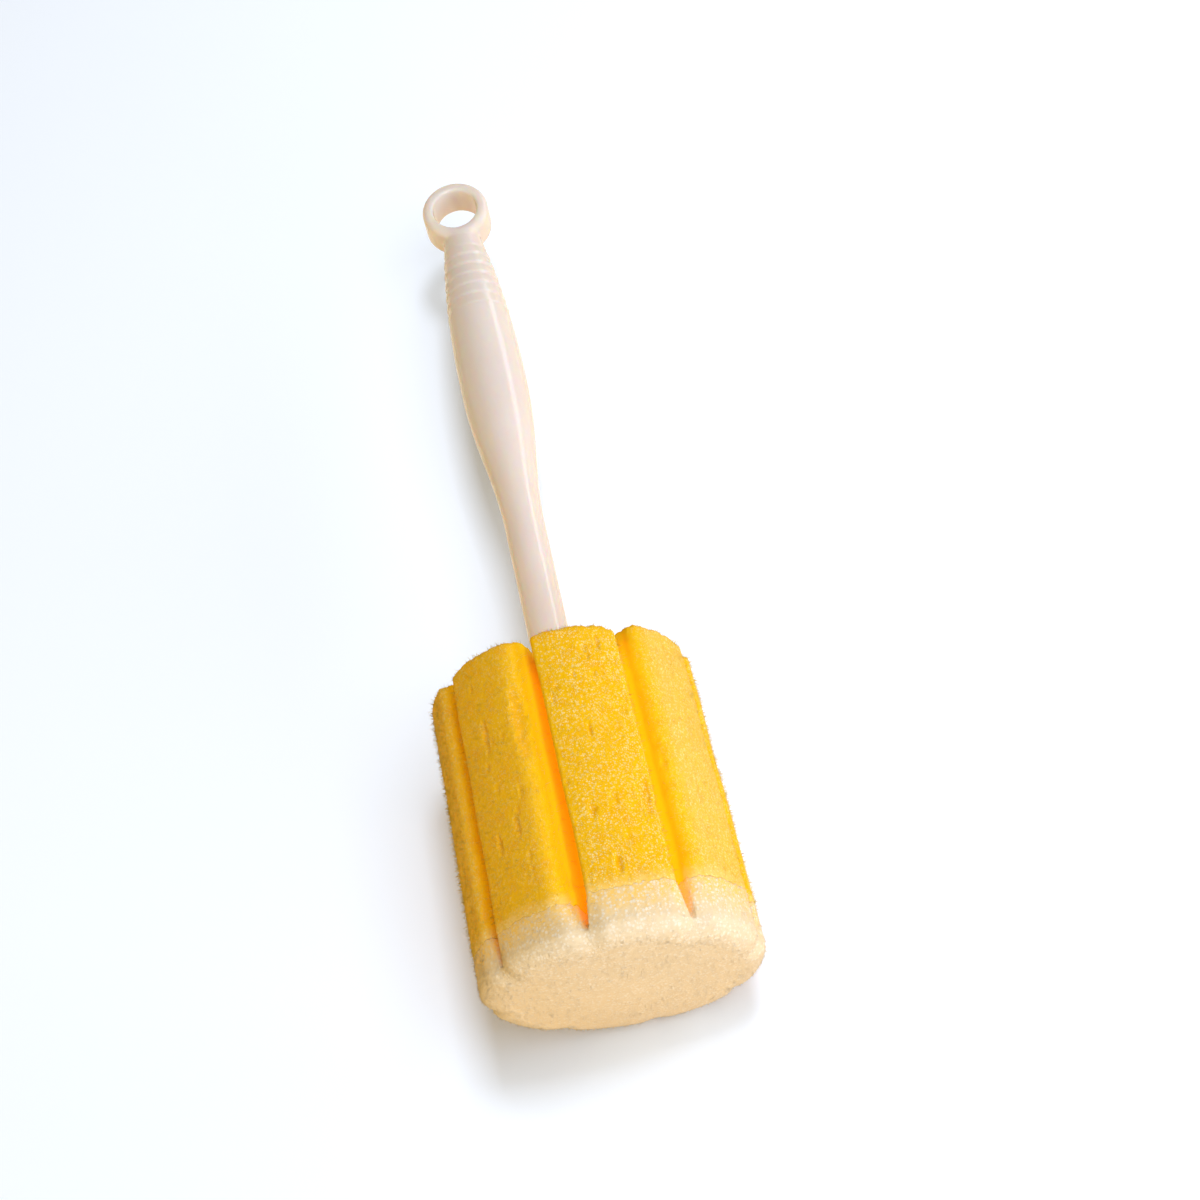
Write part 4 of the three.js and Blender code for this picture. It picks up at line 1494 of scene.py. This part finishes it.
def add_table():
    """A wide square at the height the brush rests on."""
    half = TABLE_SIZE / 2.0
    corners = [(-half, -half, 0.0), (half, -half, 0.0), (half, half, 0.0), (-half, half, 0.0)]
    mesh = bpy.data.meshes.new("table")
    mesh.from_pydata(corners, [], [(0, 1, 2, 3)])
    material = bpy.data.materials.new("table_white")
    material.use_nodes = True
    tree = material.node_tree
    shader = tree.nodes["Principled BSDF"]
    seen = seen_directly(tree, "Is Transmission Ray")
    tone = mixed_colour(tree, seen, TABLE_WARM, TABLE_WHITE)
    reflected = tree.nodes.new("ShaderNodeLightPath").outputs["Is Glossy Ray"]
    tree.links.new(mixed_colour(tree, reflected, tone, TABLE_REFLECTED), shader.inputs["Base Color"])
    place = tree.nodes.new("ShaderNodeTexCoord")
    distance = tree.nodes.new("ShaderNodeVectorMath")
    distance.operation = "LENGTH"
    tree.links.new(place.outputs["Object"], distance.inputs[0])
    far = between(tree, distance.outputs["Value"], TABLE_NEAR, TABLE_FAR)
    lift = mixed_colour(tree, seen, BLACK, mixed_colour(tree, far, TABLE_LIFT, WHITE))
    tree.links.new(lift, shader.inputs["Emission Color"])
    shader.inputs["Emission Strength"].default_value = 1.0
    shader.inputs["Roughness"].default_value = 1.0
    shader.inputs["Specular IOR Level"].default_value = 0.0
    mesh.materials.append(material)
    table = new_object("table", mesh)
    return table


table = add_table()
print("table at z = 0,", TABLE_SIZE, "m wide")

# %% Light of the room
WORLD_WARM = (1.0, 0.74, 0.36)
WORLD_FILL = 0.23


def add_world():
    """Warm fill light all round, and white where the camera or a reflection sees it."""
    world = bpy.data.worlds.new("room")
    bpy.context.scene.world = world
    world.use_nodes = True
    tree = world.node_tree
    background = tree.nodes["Background"]
    warm = tuple(WORLD_FILL * value for value in WORLD_WARM)
    seen = seen_directly(tree, "Is Glossy Ray", "Is Transmission Ray")
    tree.links.new(mixed_colour(tree, seen, warm, WHITE), background.inputs["Color"])
    background.inputs["Strength"].default_value = 1.0


add_world()
print("warm fill of", WORLD_FILL)

# %% [markdown]
# ## Lamps
# A long, cool soft box on the right draws the pale stripe down the handle. The main light is a box above,
# a third box lights the end of the tip, and a warm one on the left stands for the room. One more lamp is
# linked to the table alone: it lays the soft shadow beside the brush, so its strength can be set without
# lighting the brush. Area lamps could be dragged about by hand; here each is placed by its direction from
# the head.

# %% Lamp helpers
HEAD_MIDDLE = np.array([0.0, 70.0, 0.0])
NEARLY_ALONG = 0.8


def across_brush(angle):
    """Direction across the brush, turned by the angle from the ring's hole towards its side."""
    return np.cos(angle) * ring_axis + np.sin(angle) * ring_side


def add_lamp(name, direction, distance, size, level, colour):
    """A soft box that faces the brush, with its long way along the brush where that can be.

    Its power is such that a white card facing it at that distance looks as bright as level: a flat lamp
    throws its power over pi on the card, by the squared distance, and the card gives back one part in pi.
    """
    data = bpy.data.lights.new(name, "AREA")
    data.shape = "RECTANGLE"
    data.size, data.size_y = size
    data.color = colour
    data.energy = level * np.pi * np.pi * (distance * MM) ** 2
    lamp = new_object(name, data)
    backward = unit(direction)
    guide = along if abs(along @ backward) < NEARLY_ALONG else upward
    place = in_frame(HEAD_MIDDLE, HEAD_AXES) + MM * distance * backward
    lamp.matrix_world = facing_matrix(backward, guide, place)
    return lamp


# %% Lamps
LAMP_WHITE = (0.97, 0.985, 1.0)
KEY_ANGLE = 62.0
KEY_BACK = 0.4
KEY_DISTANCE = 1000.0
KEY_SIZE = (0.26, 1.4)
KEY_LEVEL = 0.31
KEY_COLOUR = (0.90, 0.955, 1.0)
MAIN_ANGLE = 15.0
MAIN_FORWARD = 12.0
MAIN_DISTANCE = 900.0
MAIN_SIZE = (0.5, 0.5)
MAIN_LEVEL = 0.54
FRONT_RISE = 14.0
FRONT_DISTANCE = 900.0
FRONT_SIZE = (0.8, 0.4)
FRONT_LEVEL = 0.46
FRONT_COLOUR = (0.95, 0.98, 0.98)
FRONT_ASIDE = 0.65
LEFT_RISE = 0.35
LEFT_BACK = -0.35
LEFT_DISTANCE = 1000.0
LEFT_SIZE = (1.0, 1.0)
LEFT_LEVEL = 0.30
LEFT_WARM = (1.0, 0.76, 0.24)
SHADOW_TILT = 17.0
SHADOW_BACK = 10.0
SHADOW_DISTANCE = 1800.0
SHADOW_SIZE = (0.42, 0.42)
SHADOW_LEVEL = 0.55

from_right = across_brush(np.radians(KEY_ANGLE)) + KEY_BACK * along
add_lamp("key_soft_box", from_right, KEY_DISTANCE, KEY_SIZE, KEY_LEVEL, KEY_COLOUR)
leaned, forward = np.radians([MAIN_ANGLE, MAIN_FORWARD])
above = np.cos(forward) * across_brush(leaned) - np.sin(forward) * along
add_lamp("main_soft_box", above, MAIN_DISTANCE, MAIN_SIZE, MAIN_LEVEL, LAMP_WHITE)
tilted, back = np.radians([SHADOW_TILT, SHADOW_BACK])
overhead = np.array([np.sin(tilted), np.sin(back), np.cos(tilted)])
shadow_lamp = add_lamp("shadow_lamp", overhead, SHADOW_DISTANCE, SHADOW_SIZE, SHADOW_LEVEL, LAMP_WHITE)
table_only = bpy.data.collections.new("lit_by_shadow_lamp")
table_only.objects.link(table)
shadow_lamp.light_linking.receiver_collection = table_only
from_left = LEFT_RISE * upward - side + LEFT_BACK * along
add_lamp("left_warm_box", from_left, LEFT_DISTANCE, LEFT_SIZE, LEFT_LEVEL, LEFT_WARM)
raised = np.radians(FRONT_RISE)
before_tip = FRONT_ASIDE * side - np.cos(raised) * along + np.sin(raised) * upward
add_lamp("front_soft_box", before_tip, FRONT_DISTANCE, FRONT_SIZE, FRONT_LEVEL, FRONT_COLOUR)
print("lamps:", [lamp.name for lamp in bpy.data.lights])

# %% [markdown]
# ## View and light bounces
# The Standard view shows colours as they are written. Light bounces many times in a narrow slot before it
# comes out, so more bounces are followed than usual.

# %% Finish
SLOT_BOUNCES = 12
bpy.context.scene.view_settings.view_transform = "Standard"
bpy.context.scene.cycles.diffuse_bounces = SLOT_BOUNCES
bpy.context.scene.cycles.max_bounces = 2 * SLOT_BOUNCES
